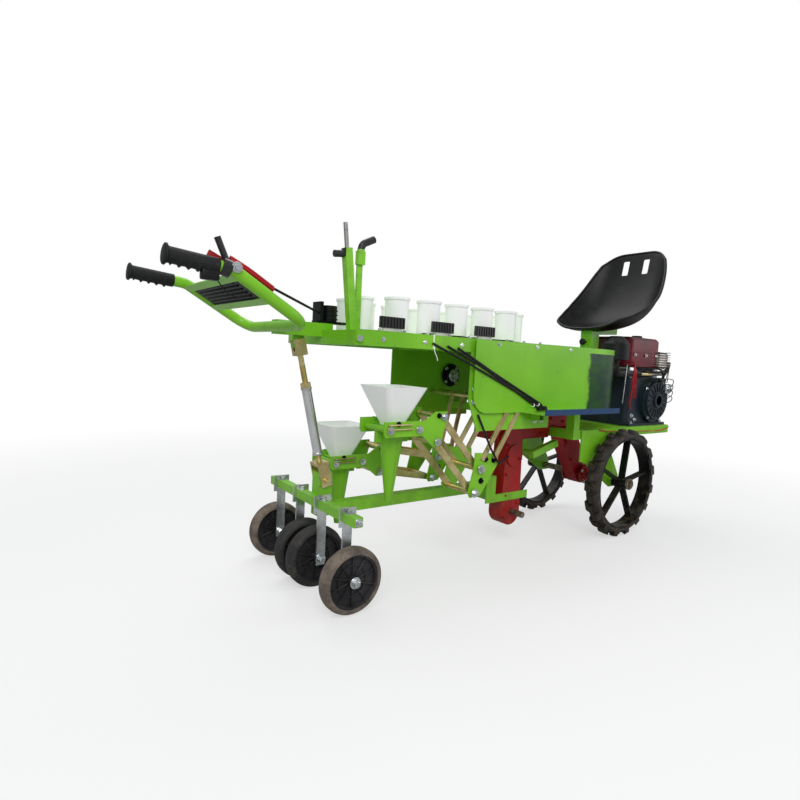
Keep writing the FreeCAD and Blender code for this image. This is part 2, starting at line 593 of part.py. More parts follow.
def hood():
    """A folded sheet cover: two side walls whose engine ends roll inwards, under one top sheet."""
    thick, outer = size("sheet_thick"), size("hood_y") + size("sheet_thick")
    rear, straight = number(back("hood_rear_back")), number(back("hood_straight_back"))
    radius, angle = size("hood_curve_radius"), math.radians(size("hood_curve_angle"))
    low, high = size("hood_low"), size("rail_top")

    def arc(r, share):
        turn = angle * share
        return Vector(straight + r * math.sin(turn), radius - outer - r * math.cos(turn), 0)
    inner = radius - thick
    wall = Part.Wire([Part.LineSegment(Vector(rear, -outer, 0), arc(radius, 0)).toShape(),
                      Part.Arc(arc(radius, 0), arc(radius, 0.5), arc(radius, 1)).toShape(),
                      Part.LineSegment(arc(radius, 1), arc(inner, 1)).toShape(),
                      Part.Arc(arc(inner, 1), arc(inner, 0.5), arc(inner, 0)).toShape(),
                      Part.LineSegment(arc(inner, 0), Vector(rear, thick - outer, 0)).toShape(),
                      Part.LineSegment(Vector(rear, thick - outer, 0), Vector(rear, -outer, 0)).toShape()])
    side = Part.Face(wall).extrude(Vector(0, 0, high - low)).translated(Vector(0, 0, low))
    corner = [edge for edge in side.Edges if abs(edge.BoundBox.XMax - rear) < 1
              and edge.BoundBox.ZMax < low + 1 and edge.Length < 2 * thick]
    side = side.makeFillet(size("hood_corner"), corner)
    seam = size("rail_y") + size("rail_side") / 2
    flip = [Vector(v.x, -v.y, 0) for v in (arc(radius, 1), arc(radius, 0.5), arc(radius, 0))]
    top_rear = number(back("deck_front_back"))
    cover = Part.Wire([Part.LineSegment(Vector(top_rear, -outer, 0), arc(radius, 0)).toShape(),
                       Part.Arc(arc(radius, 0), arc(radius, 0.5), arc(radius, 1)).toShape(),
                       Part.LineSegment(arc(radius, 1), flip[0]).toShape(), Part.Arc(*flip).toShape(),
                       Part.LineSegment(flip[2], Vector(top_rear, outer, 0)).toShape(),
                       Part.LineSegment(Vector(top_rear, outer, 0), Vector(top_rear, -outer, 0)).toShape()])
    top = Part.Face(cover).extrude(Vector(0, 0, thick)).translated(Vector(0, 0, high))
    spacers = [Part.makeBox(24, outer - thick - seam, 36, Vector(x, y, high - 42))
               for x in (straight - 300, straight - 40) for y in (seam, thick - outer)]
    walls = side.fuse(side.mirror(Vector(), Vector(0, 1, 0)))
    shell = walls.multiFuse([top] + spacers).removeSplitter()
    node(feature(shell, "hood"), "hood")


hood()


def foot_boards():
    """A lipped tread on each side, both welded to one square tube across the machine."""
    inner = "hood_y + sheet_thick"
    outer = f"{inner} + tray_width"
    span = (back("tray_rear_back"), back("tray_front_back"))
    floor = block(span, (inner, outer), ("tray_z", "tray_z + sheet_thick"))
    edge = block(span, (f"{outer} - sheet_thick", outer), ("tray_z", "tray_z + tray_lip"))
    tread = join([floor, edge])
    tube = block((back("tray_tube_back + tray_tube_side"), back("tray_tube_back")),
                 across(f"{outer} - tray_tube_inset"), ("tray_z - tray_tube_side", "tray_z"))
    hollow = block((back("tray_tube_back + tray_tube_side - 3"), back("tray_tube_back + 3")), across(outer),
                   ("tray_z - tray_tube_side + 3", "tray_z - 3"))
    return join([tread, mirrored(tread), cut(tube, [hollow])])


node(foot_boards(), "foot_boards")

# ---------------------------------------------------------------- engine frame and axle brackets


def engine_frame():
    """Two rails under the engine, their cross members, the columns to the top frame and the axle plates."""
    low, inner = "frame_top - frame_side", "frame_y - frame_side / 2"
    span = (inner, "frame_y + frame_side / 2")
    rail = block((back("frame_rear_back"), "axle_x + frame_front"), span, (low, "frame_top"))
    column = block((f"{front_x} - rail_side", front_x), span, ("frame_top", rail_low))
    members = [block((x, f"{x} + frame_side"), across(inner), (low, "frame_top"))
               for x in ("axle_x + frame_front - frame_side", "axle_x + 60", back("frame_rear_back"))]
    holes = [rod("x", "6.5", "frame_side + 2",
                 ("axle_x + frame_front - frame_side - 1", f"{sign} * 120", "frame_top - frame_side / 2"))
             for sign in (-1, 1)]
    bracket = plate([(back("bracket_rear_back"), "frame_top"), (back("bracket_rear_back"), "wheel_radius + 112"),
                     (back("bracket_rear_back - 50"), "wheel_radius + 96"), (back("34"), "wheel_radius - 26"),
                     (back("-34"), "wheel_radius - 26"), (back("-34"), "wheel_radius + 26"),
                     (back("110"), "frame_top")], "bracket_thick", "frame_y + frame_side / 2 + bracket_thick / 2",
                    [("axle_x", "wheel_radius", "axle_radius")])
    whole = join([rail, mirrored(rail), column, mirrored(column), bracket, mirrored(bracket)] + members)
    return cut(whole, holes)


node(engine_frame(), "engine_frame")

# ---------------------------------------------------------------- transmission


def gearbox():
    """The stepped main housing, low behind the engine frame and shallow above it."""
    rear, front = back("gearbox_rear_back"), back("gearbox_front_back")
    step = back("frame_rear_back + 8")
    body = plate([(rear, "gearbox_low"), (step, "gearbox_low"), (step, "frame_top"), (front, "frame_top"),
                  (front, "gearbox_top"), (f"{rear} + 40", "gearbox_top"), (rear, "gearbox_top - 40")],
                 "2 * gearbox_half", "0")
    return rounded(body, 10, along("x"))


node(gearbox(), "gearbox")


def drive_case():
    """The chain case that leans from the gearbox down to the axle, with its round bearing cover."""
    case = capsule(number(back("case_top_back")), size("case_top_z"), size("case_top_radius"), size("axle_x"),
                   size("wheel_radius"), size("case_low_radius"), size("case_half"))
    x, z = back("case_top_back"), "case_top_z"
    cover = rod("y", "36", "2 * case_half + 16", (x, "-case_half - 8", z))
    shaft = rod("y", "12", "2 * case_half + 30", (x, "-case_half - 15", z))
    bore = rod("y", "axle_radius", "4 * case_half", ("axle_x", "-2 * case_half", "wheel_radius"))
    return cut(join([case, cover, shaft]), [bore, nodes["gearbox"]])


node(drive_case(), "drive_case")
axle_half = "wheel_y + hub_length / 2 + 20"
node(rod("y", "axle_radius", f"2 * ({axle_half})", ("axle_x", f"-({axle_half})", "wheel_radius")), "drive_axle")


def planting_case():
    """The case that hangs from the gearbox and drives the planters, with a ring flange at its shaft."""
    x, y = number(back("plant_case_back")), size("plant_case_y")
    radius, half = size("plant_case_radius"), size("plant_case_half")
    top = size("gearbox_low") + 10
    case = capsule(x, top, radius - 8, x, size("plant_case_low"), radius, half)
    case.Placement = Placement(Vector(0, y, 0), Rotation())
    flange = rod("y", "46", "8", (back("plant_case_back"), "plant_case_y - plant_case_half - 8", "gearbox_low - 60"))
    return cut(join([case, flange]), [nodes["gearbox"]])


node(planting_case(), "planting_case")
node(rod("y", "crank_radius", "62", (back("plant_case_back - 8"), "plant_case_y - plant_case_half - 62",
                                     "plant_case_low")), "crank_stub")

# ---------------------------------------------------------------- knees that carry the planting arms

SIDES = {"near": -1, "far": 1}


def knee_spot(side):
    """The upper arm pivot of one row."""
    return Vector(number(back(f"{side}_knee_back")), SIDES[side] * size("row_y"), size(f"{side}_knee_z"))


def knee(side):
    """Two plates joined by the two arm pins."""
    spot = knee_spot(side)
    dx, dz = size("pivot_dx"), size("pivot_dz")
    gap, thick = size("plate_gap"), size("plate_thick")
    outline_points = [(-24, 60), (92, 50), (96, 14), (12, -100), (dx - 14, dz - 18), (dx - 24, dz), (-26, 10)]
    wire = Part.makePolygon([Vector(x, 0, z) for x, z in outline_points + outline_points[:1]])
    sheet = Part.Face(wire).extrude(Vector(0, thick, 0))
    solids = [sheet.translated(Vector(0, y, 0)) for y in (gap, -gap - thick)]
    reach = gap + thick + 8
    for x, z in ((0, 0), (dx, dz)):
        solids.append(Part.makeCylinder(size("pin_radius"), 2 * reach, Vector(x, -reach, z), Vector(0, 1, 0)))
    whole = solids[0].multiFuse(solids[1:]).removeSplitter()
    return whole.translated(spot)


node(feature(Part.makeCompound([knee(side) for side in SIDES]), "knees"), "knees")


def knee_struts():
    """Pairs of flat bars from each knee up to two shafts that cross between the side plates."""
    wide, thick, radius = size("strut_wide"), size("strut_thick"), size("shaft_radius")
    outer = size("plate_gap") + size("plate_thick")
    reach = size("side_plate_y") + size("plate_thick")
    solids = []
    for step in (0, size("strut_step")):
        top = Vector(number(back("shaft_back")) + step, -reach, size("shaft_z"))
        solids.append(Part.makeCylinder(radius, 2 * reach, top, Vector(0, 1, 0)))
        for side in SIDES:
            foot = knee_spot(side) + Vector(14 + step, 0, 42)
            rise = Vector(top.x - foot.x, 0, top.z - foot.z)
            for y in (outer, -outer - thick):
                strut = Part.makeBox(wide, thick, rise.Length + 24, Vector(-wide / 2, y, -12))
                strut.Placement = Placement(foot, Rotation(Vector(0, 0, 1), rise))
                solids.append(strut)
    return solids[0].multiFuse(solids[1:]).removeSplitter()


node(feature(knee_struts(), "struts"), "knee_struts")

# ---------------------------------------------------------------- planting units


def arm(start, tilt, bars):
    """Two flat bars joined by a bored tube at each end, from its forward pivot back along -X."""
    length, high, thick = size("arm_length"), size("arm_bar_high"), size("arm_bar_thick")
    half = size("arm_bar_y") + thick / 2
    solids = [Part.makeBox(length, thick, high, Vector(-length, y, -high / 2)) for y in (-half, half - thick)]
    ends = (0, -length)
    solids += [Part.makeCylinder(high / 2, thick, Vector(x, y, 0), Vector(0, 1, 0))
               for x in ends for y in (-half, half - thick)]
    solids += [Part.makeCylinder(size("boss_radius"), 2 * half, Vector(x, -half, 0), Vector(0, 1, 0)) for x in ends]
    bores = [Part.makeCylinder(size("pin_radius") + size("running_gap"), 4 * half, Vector(x, -2 * half, 0),
                               Vector(0, 1, 0)) for x in ends]
    shape = solids[0].multiFuse(solids[1:]).removeSplitter().cut(Part.makeCompound(bores))
    return feature(shape, bars, Placement(start, tilt))


def planting_unit(side):
    """One duckbill planter: two parallel arms, the carrier they hold level, its funnel and its two jaws."""
    first = knee_spot(side)
    angle = size(f"{side}_angle")
    tilt = Rotation(Vector(0, 1, 0), angle)
    origin = first + tilt.multVec(Vector(-size("arm_length"), 0, 0))
    offset = Vector(size("pivot_dx"), 0, size("pivot_dz"))
    node(arm(first, tilt, "upper"), f"{side}_upper_arm")
    node(arm(first + offset, tilt, "lower"), f"{side}_lower_arm")
    node(carrier(origin), f"{side}_carrier")
    axis = origin - Vector(size("hopper_reach"), 0, 0)
    node(funnel(axis), f"{side}_funnel")
    for name, way in (("rear", -1), ("front", 1)):
        node(jaw(axis, way), f"{side}_{name}_jaw")


def carrier(origin):
    """Two side plates tied by the arm pins, the jaw pins and a collar round the funnel's neck."""
    gap, thick, reach = size("plate_gap"), size("plate_thick"), size("hopper_reach")
    dx, dz = size("pivot_dx"), size("pivot_dz")
    points = [(15, 18), (15, -12), (dx + 14, dz - 16), (dx - 16, dz - 16), (-reach + 74, -62), (-reach - 74, -62),
              (-reach - 80, -52), (-reach - 80, -12), (-reach + 84, -12), (-34, 18)]
    wire = Part.makePolygon([Vector(x, 0, z) for x, z in points + points[:1]])
    sheet = Part.Face(wire).extrude(Vector(0, thick, 0))
    solids = [sheet.translated(Vector(0, gap, 0)), sheet.translated(Vector(0, -gap - thick, 0))]
    half = gap + thick + 4
    pins = ((0, 0, "pin_radius"), (dx, dz, "pin_radius"),
            (-reach - size("jaw_pin_dx"), size("jaw_pin_dz"), "jaw_pin_radius"),
            (-reach + size("jaw_pin_dx"), size("jaw_pin_dz"), "jaw_pin_radius"))
    for x, z, radius in pins:
        solids.append(Part.makeCylinder(size(radius), 2 * half, Vector(x, -half, z), Vector(0, 1, 0)))
    collar = Part.makeBox(86, 2 * gap, 4, Vector(-reach - 43, -gap, size("funnel_throat") - 4))
    solids.append(collar.cut(Part.makeCylinder(size("neck_radius") - 1, 40, Vector(-reach, 0, -60))))
    shape = solids[0].multiFuse(solids[1:]).removeSplitter()
    return feature(shape, "carrier", Placement(origin, Rotation()))


def frustum(low_side, low, high_side, high, corner):
    """A square tapered block with its four leaning edges rounded."""
    def square(side, z):
        return Part.makePolygon([Vector(x * side / 2, y * side / 2, z)
                                 for x, y in ((-1, -1), (1, -1), (1, 1), (-1, 1), (-1, -1))])
    solid = Part.makeLoft([square(low_side, low), square(high_side, high)], True, True)
    leaning = [edge for edge in solid.Edges if edge.BoundBox.ZLength > (high - low) / 2]
    return solid.makeFillet(corner, leaning)


def funnel(axis):
    """The white seedling funnel: a flared square mouth on a round neck."""
    wall, neck = size("funnel_wall"), size("neck_radius")
    top, throat, low, side = size("funnel_top"), size("funnel_throat"), size("neck_low"), size("funnel_side")

    def form(inset, bottom, mouth):
        flare = frustum(2 * (neck - inset), throat, side - 2 * inset, mouth, 16 - inset)
        return flare.fuse(Part.makeCylinder(neck - inset - 1, throat - bottom + 1, Vector(0, 0, bottom)))
    shape = form(0, low, top).cut(form(wall, low - 5, top + 0.01)).removeSplitter()
    return feature(shape, "funnel", Placement(axis, Rotation()))


def jaw(axis, way):
    """One half of the duckbill: half a cone shell with a pivot tube beside its mouth."""
    top, tip, wall = size("jaw_top"), size("jaw_tip"), size("jaw_wall")
    wide, narrow = size("jaw_top_radius"), size("jaw_tip_radius")
    outer = Part.makeCone(narrow, wide, top - tip, Vector(0, 0, tip))
    inner = Part.makeCone(narrow - wall, wide - wall, top - tip, Vector(0, 0, tip))
    keep = Part.makeBox(200, 200, 400, Vector(0.5 if way > 0 else -200.5, -100, tip - 10))
    shell = outer.cut(inner).common(keep)
    pin = Vector(way * size("jaw_pin_dx"), 0, size("jaw_pin_dz"))
    boss_half = size("plate_gap") - 6
    boss = Part.makeCylinder(size("jaw_boss_radius"), 2 * boss_half, pin - Vector(0, boss_half, 0), Vector(0, 1, 0))
    web = Part.makeBox(28, 10, 50, Vector(-14, -5, -50)).translated(Vector(way * (wide + 9), 0, pin.z))
    shape = shell.multiFuse([boss, web.cut(outer)]).removeSplitter()
    bore = Part.makeCylinder(size("jaw_pin_radius") + size("running_gap"), 200, pin - Vector(0, 100, 0),
                             Vector(0, 1, 0))
    return feature(shape.cut(bore), "jaw", Placement(axis, Rotation()))


for side in SIDES:
    planting_unit(side)

# ---------------------------------------------------------------- cup loop


def cup_places():
    """The centres of the cups, evenly spaced round two straight runs and two half circles."""
    rear, front, radius = number(back("loop_rear_back")), number(back("loop_front_back")), size("loop_radius")
    run, bend = front - rear, math.pi * radius
    count = int(size("cup_count"))
    for index in range(count):
        travel = (index + 0.5) / count * 2 * (run + bend)
        if travel < run:
            yield Vector(rear + travel, -radius, 0)
        elif travel < run + bend:
            turn = (travel - run) / radius
            yield Vector(front + radius * math.sin(turn), -radius * math.cos(turn), 0)
        elif travel < 2 * run + bend:
            yield Vector(front - (travel - run - bend), radius, 0)
        else:
            turn = (travel - 2 * run - bend) / radius
            yield Vector(rear - radius * math.sin(turn), radius * math.cos(turn), 0)


def cup_loop():
    """Open cups that stand on a raised track round the deck."""
    base = size("rail_top") + size("sheet_thick")
    low = base + size("cup_lift")
    radius, wall, high = size("cup_radius"), size("cup_wall"), size("cup_height")
    cups = []
    for place in cup_places():
        foot = place + Vector(0, 0, low)
        outer = Part.makeCylinder(radius, high, foot)
        rim = Part.makeCylinder(radius + size("cup_rim"), size("cup_rim_high"),
                                foot + Vector(0, 0, high - size("cup_rim_high")))
        hollow = Part.makeCylinder(radius - wall, high, foot + Vector(0, 0, wall))
        cups.append(outer.fuse(rim).cut(hollow).removeSplitter())
    node(feature(Part.makeCompound(cups), "cups"), "seedling_cups")
    rear, front = number(back("loop_rear_back")), number(back("loop_front_back"))

    def ring(r, height):
        corners = [Vector(rear, -r, base), Vector(front, -r, base), Vector(front + r, 0, base),
                   Vector(front, r, base), Vector(rear, r, base), Vector(rear - r, 0, base)]
        wire = Part.Wire([Part.LineSegment(corners[0], corners[1]).toShape(),
                          Part.Arc(*corners[1:4]).toShape(),
                          Part.LineSegment(corners[3], corners[4]).toShape(),
                          Part.Arc(corners[4], corners[5], corners[0]).toShape()])
        return Part.Face(wire).extrude(Vector(0, 0, height))
    middle, half = size("loop_radius"), size("track_thick")
    track = ring(middle + half, size("cup_lift")).cut(ring(middle - half, size("cup_lift")))
    openings = [Part.makeCylinder(size("drop_hole_radius"), 40, Vector(rear, y, base - 20))
                for y in (-middle, middle)]
    node(feature(track.cut(Part.makeCompound(openings)), "track"), "cup_track")
    blocks = []
    long, high, thick, rib_out = size("guide_long"), size("guide_high"), size("guide_thick"), 3
    for distance in (1340, 1130, 930):
        x, y, z = number(back(distance)), -size("rail_y") - thick / 2, base + size("guide_lift")
        body = Part.makeBox(long, thick, high, Vector(x - long / 2, y - thick / 2, z))
        foot = Part.makeBox(long - 22, thick - 4, z - base, Vector(x - long / 2 + 11, y - thick / 2 + 2, base))
        ribs = [Part.makeBox(4, thick + 2 * rib_out, high - 6,
                             Vector(x - long / 2 + 2 + 12 * i, y - thick / 2 - rib_out, z + 3)) for i in range(8)]
        blocks.append(body.multiFuse([foot] + ribs).removeSplitter())
    node(feature(Part.makeCompound(blocks), "guides"), "ribbed_guides")


cup_loop()

# ---------------------------------------------------------------- seat and its post

SEAT_RIBS = (  # along X and up from the lip's foot, the section's lean, half width and rim rise
    (0, 8, -14, 0.70, 36), (70, 0, 2, 0.88, 62), (170, 14, 14, 1.00, 92), (262, 48, 34, 1.04, 108),
    (334, 116, 56, 1.04, 108), (382, 210, 70, 0.98, 88), (416, 318, 76, 0.86, 58), (440, 436, 80, 0.64, 20),
)
SEAT_STEPS = 2  # sections between each pair of ribs


def seat_section(share):
    """One rib's numbers at a share of the way from lip to top, eased through the four nearest ribs."""
    place = share * (len(SEAT_RIBS) - 1)
    index = min(int(place), len(SEAT_RIBS) - 2)
    t = place - index
    near = [SEAT_RIBS[min(max(index + step, 0), len(SEAT_RIBS) - 1)] for step in (-1, 0, 1, 2)]
    weights = (-t + 2 * t**2 - t**3, 2 - 5 * t**2 + 3 * t**3, t + 4 * t**2 - 3 * t**3, t**3 - t**2)
    return [sum(w * rib[column] for w, rib in zip(weights, near)) / 2 for column in range(5)]


def seat():
    """A moulded bucket lofted through crescent sections from the lip, over the pan, to the back's top."""
    wires, wall, count = [], size("seat_wall"), (len(SEAT_RIBS) - 1) * SEAT_STEPS
    for index in range(count + 1):
        x, z, lean, share, rise = seat_section(index / count)
        half = size("seat_half_width") * share
        outer = [Vector(0, -half, rise), Vector(0, -half * 0.62, rise * 0.16), Vector(0, 0, 0),
                 Vector(0, half * 0.62, rise * 0.16), Vector(0, half, rise)]
        inner = [Vector(0, p.y * (1 - wall * 0.6 / half), p.z + wall) for p in reversed(outer)]
        curves = []
        for line in (outer, inner):
            spline = Part.BSplineCurve()
            spline.interpolate(line)
            curves.append(spline.toShape())
        wire = Part.Wire([curves[0], Part.LineSegment(outer[-1], inner[0]).toShape(), curves[1],
                          Part.LineSegment(inner[-1], outer[0]).toShape()])
        wire.Placement = Placement(Vector(x, 0, z), Rotation(Vector(0, 1, 0), -lean))
        wires.append(wire)
    shell = Part.makeLoft(wires, True, True)
    wide, high = size("seat_slot_wide"), size("seat_slot_high")
    slots = [Part.makeBox(160, wide, high, Vector(330, sign * size("seat_slot_y") - wide / 2, 330))
             for sign in (-1, 1)]
    slots.append(Part.makeBox(86, 14, 120, Vector(96, -7, -40)))
    return shell.cut(Part.makeCompound(slots))


seat_place = Placement(Vector(number("axle_x + seat_front"), 0, size("seat_low")), Rotation())
node(feature(seat(), "seat", seat_place), "seat")
post_x = back("seat_post_back")
seat_post = block((post_x, f"{post_x} + seat_post_side"), across("seat_post_side / 2"),
                  ("rail_top", "seat_low - 12"))
pan = "axle_x + seat_front"
seat_arm = plate([(post_x, "seat_low - 16"), (f"{pan} + 246", "seat_low - 4"), (f"{pan} + 250", "seat_low + 44"),
                  (f"{pan} + 170", "seat_low + 17"), (f"{pan} + 70", "seat_low + 3"), (post_x, "seat_low + 3")],
                 "seat_post_side", "0")
node(cut(join([seat_post, seat_arm]), [nodes["seat"]]), "seat_post")

# ---------------------------------------------------------------- engine


def engine():
    """A single-cylinder engine: crankcase on its foot, finned barrel, flywheel cover, tank and air cleaner."""
    x0, y0 = number("axle_x + engine_rear"), size("engine_centre_y")
    long, half, base = size("engine_length"), size("engine_half_width"), size("frame_top")
    high, lift = size("engine_case_high"), size("engine_foot_high")
    case_top = base + lift + high
    crankcase = Part.makeBox(long, 2 * half, high, Vector(x0, y0 - half, base + lift))
    crankcase = crankcase.makeFillet(size("engine_corner"), [edge for edge in crankcase.Edges if along("z")(edge)])
    foot = Part.makeBox(long, 2 * size("frame_y"), lift, Vector(x0, -size("frame_y"), base))
    barrel_x, barrel_long, barrel_wide = x0 + size("barrel_ahead"), size("barrel_long"), size("barrel_wide")
    barrel = Part.makeBox(barrel_long, barrel_wide, size("barrel_high"),
                          Vector(barrel_x, y0 - barrel_wide / 2, case_top))
    out, pitch = size("fin_out"), size("fin_pitch")
    fins = [Part.makeBox(barrel_long + 2 * out, barrel_wide + 2 * out, size("fin_thick"),
                         Vector(barrel_x - out, y0 - barrel_wide / 2 - out, case_top + 8 + pitch * i))
            for i in range(int(size("fin_count")))]
    node(feature(crankcase.multiFuse([foot, barrel] + fins).removeSplitter(), "engine_block"), "engine_block")
    node(feature(flywheel_cover(x0, y0 - half, base), "flywheel_cover"), "flywheel_cover")
    tank_low, tank_high, tank_wide = case_top + size("tank_lift"), size("tank_high"), size("tank_wide")
    tank = Part.makeBox(size("tank_long"), tank_wide, tank_high, Vector(x0 + 6, y0 - tank_wide / 2, tank_low))
    tank = tank.makeFillet(size("tank_corner"), [edge for edge in tank.Edges if along("z")(edge)])
    lid = [edge for edge in tank.Edges if edge.BoundBox.ZMin > tank_low + tank_high - 1]
    tank = tank.makeChamfer(14, lid).cut(nodes["engine_block"].Shape)
    node(feature(tank, "tank"), "fuel_tank")
    node(feature(air_cleaner(), "air_cleaner"), "air_cleaner")


def flywheel_cover(x0, face, base):
    """The stepped round cover on the engine's near side, with the hub of its pull starter."""
    centre = Vector(x0 + size("flywheel_ahead"), face, base + size("flywheel_z"))
    radius, out = size("flywheel_radius"), Vector(0, -1, 0)
    steps = [Part.makeCylinder(radius * share, depth, centre, out)
             for share, depth in ((1.0, 24), (0.86, 38), (0.34, 46))]
    return steps[0].multiFuse(steps[1:]).removeSplitter()


def air_cleaner():
    """A round filter housing with a sloping lid, on a duct that turns into the engine."""
    x, y, z = number("axle_x + cleaner_ahead"), size("cleaner_y"), size("cleaner_z")
    radius, high, duct = size("cleaner_radius"), size("cleaner_high"), size("duct_radius")
    body = Part.makeCylinder(radius, high, Vector(x, y, z))
    lid = Part.makeCone(radius, size("cleaner_cap"), size("cleaner_cone"), Vector(x, y, z + high))
    engine_face = nodes["engine_block"].Shape.BoundBox.XMin + 40
    pipe = tube_path([Vector(x, y, z + 1), Vector(x, y, z - 64), Vector(engine_face + 40, y, z - 64)], duct, duct + 4)
    whole = body.multiFuse([lid, pipe]).cut(nodes["engine_block"].Shape).cut(nodes["fuel_tank"].Shape)
    return whole.removeSplitter()


engine()

# ---------------------------------------------------------------- posts

post_base = "rail_top + sheet_thick"


def marker_post():
    """A leaning square post with a bare rod in its top and a round handle on its rear face."""
    side, high, radius = size("marker_side"), size("marker_high"), size("marker_rod_radius")
    post = Part.makeBox(side, side, high, Vector(-side / 2, -side / 2, 0))
    sleeve = Part.makeCylinder(radius, size("marker_rod_length") + 2, Vector(0, 0, high - 2))
    handle = Part.makeCylinder(11, 34, Vector(-side / 2, 0, high - 18), Vector(-1, 0, 0))
    shape = post.multiFuse([sleeve, handle]).removeSplitter()
    lean = Rotation(Vector(0, 1, 0), -size("marker_lean"))
    shape.Placement = Placement(Vector(number(back("marker_back")), size("marker_y"), number(post_base)), lean)
    below = Part.makeBox(200, 200, 20, Vector(number(back("marker_back")) - 100, size("marker_y") - 100,
                                              number(post_base) - 20))
    return shape.cut(below)


node(feature(marker_post(), "marker"), "marker_post")


def lift_lever():
    """An upright flat lever whose grip bends forwards, and the short clutch arm on the gearbox side."""
    x, y, base = number(back("lift_back")), size("lift_y"), number(post_base)
    high = size("lift_high")
    blade = Part.makeBox(20, 8, high, Vector(x - 10, y - 4, base))
    bracket = Part.makeBox(26, 20, 44, Vector(x - 13, y - 14, base + high - 48))
    hand = tube_path([Vector(x, y, base + high - 12), Vector(x + 8, y, base + high + 20),
                      Vector(x + 52, y, base + high + 42)], 12, 22)
    lever = blade.multiFuse([bracket, hand]).removeSplitter()
    low, top = (Vector(number(back(distance)), 0, z) for distance, z in ((500, 392), (338, 436)))
    run = top - low
    arm = Part.makeBox(run.Length, 24, 30, Vector(0, -130, -15))
    arm.Placement = Placement(low, Rotation(Vector(1, 0, 0), run))
    shaft_y = size("gearbox_half") + 35
    shaft = Part.makeCylinder(10, shaft_y + 10, Vector(low.x + 24, -shaft_y - 20, low.z + 6), Vector(0, 1, 0))
    hanger = Part.makeBox(24, 12, size("gearbox_low") + 20 - low.z, Vector(low.x + 12, -60, low.z))
    clutch = arm.multiFuse([shaft, hanger]).removeSplitter().cut(shape_of(nodes["gearbox"]))
    return Part.makeCompound([lever, clutch.cut(nodes["planting_case"].Shape)])


node(feature(lift_lever(), "levers"), "lift_lever")

# ---------------------------------------------------------------- control cables


def cable(points, rests):
    """A thin cable of straight runs joined by arcs, cut flush where it meets the pieces it rests on."""
    route = [Vector(number(back(x)), y, z) for x, y, z in points]
    line = tube_path(route, size("cable_radius"), size("cable_bend"))
    for name in rests:
        line = line.cut(shape_of(nodes[name]))
    return max(line.Solids, key=lambda solid: solid.Volume)


rail_side_y = -(size("rail_y") + size("rail_side") / 2 + size("cable_radius"))
hood_side_y = -(size("hood_y") + size("sheet_thick") + size("cable_radius"))
plate_side_y = -(size("side_plate_y") + size("plate_thick") + size("cable_radius") - 0.5)
end_z = size("cable_end_z")
cables = [
    cable([(1848, -186, 1000), (1486, -12, 912)], ["hand_levers", "stem_spool"]),
    cable([(1184, rail_side_y, 832), (1010, hood_side_y, 764), (606, hood_side_y, end_z)],
          ["top_frame", "foot_boards", "hood"]),
    cable([(1118, rail_side_y, 826), (940, hood_side_y, 752), (640, hood_side_y, end_z)],
          ["top_frame", "foot_boards", "hood"]),
    cable([(960, plate_side_y, 590), (900, -257, 470), (850, -257, 405), (628, -104, 392)],
          ["side_plates", "planting_case"]),
]
node(feature(Part.makeCompound(cables), "cables"), "control_cables")

# ---------------------------------------------------------------- check and write

doc.recompute()
broken = [obj.Name for obj in doc.Objects if {"Invalid", "Error"} & set(obj.State)]
if broken:
    raise RuntimeError("failed objects: " + ", ".join(broken))
for name, obj in nodes.items():
    if obj.Shape.isNull() or not obj.Shape.isValid() or not obj.Shape.Solids:
        raise RuntimeError(f"bad shape: {name}")
os.makedirs("parts", exist_ok=True)
whole_box = FreeCAD.BoundBox()
for name, obj in nodes.items():
    obj.Shape.exportStep(f"parts/{name}.step")
    whole_box.add(obj.Shape.BoundBox)
print(len(nodes), "nodes", whole_box)
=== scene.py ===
"""The looks of a two-row vegetable transplanter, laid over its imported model.

+X points to the engine, -X to the handlebar, -Y is the near side and Z is up from the ground; metres.
"""

import json
import math

import bpy
from mathutils import Matrix, Vector


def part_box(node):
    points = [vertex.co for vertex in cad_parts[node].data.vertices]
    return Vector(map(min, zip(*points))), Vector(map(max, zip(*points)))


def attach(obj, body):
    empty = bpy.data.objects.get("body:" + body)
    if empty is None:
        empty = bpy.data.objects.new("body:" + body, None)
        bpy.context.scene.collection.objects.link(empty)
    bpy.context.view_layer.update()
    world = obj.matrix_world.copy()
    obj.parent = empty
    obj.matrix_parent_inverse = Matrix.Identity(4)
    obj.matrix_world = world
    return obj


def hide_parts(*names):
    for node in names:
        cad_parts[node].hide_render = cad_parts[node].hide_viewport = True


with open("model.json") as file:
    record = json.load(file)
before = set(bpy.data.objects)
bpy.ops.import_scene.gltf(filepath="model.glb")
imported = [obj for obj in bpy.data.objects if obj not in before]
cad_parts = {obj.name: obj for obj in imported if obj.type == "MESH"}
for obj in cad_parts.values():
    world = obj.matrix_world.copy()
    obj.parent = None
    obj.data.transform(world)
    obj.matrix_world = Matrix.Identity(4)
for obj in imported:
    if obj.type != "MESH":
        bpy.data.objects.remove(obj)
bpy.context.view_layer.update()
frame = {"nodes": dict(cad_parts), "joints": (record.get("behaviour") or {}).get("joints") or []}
nodes = frame["nodes"]

# ---------------------------------------------------------------- floor, light and camera
# The machine stands on a plain white floor that fades into a white room. Three large soft lamps hang
# over it, and the camera stands low at its rear near corner.


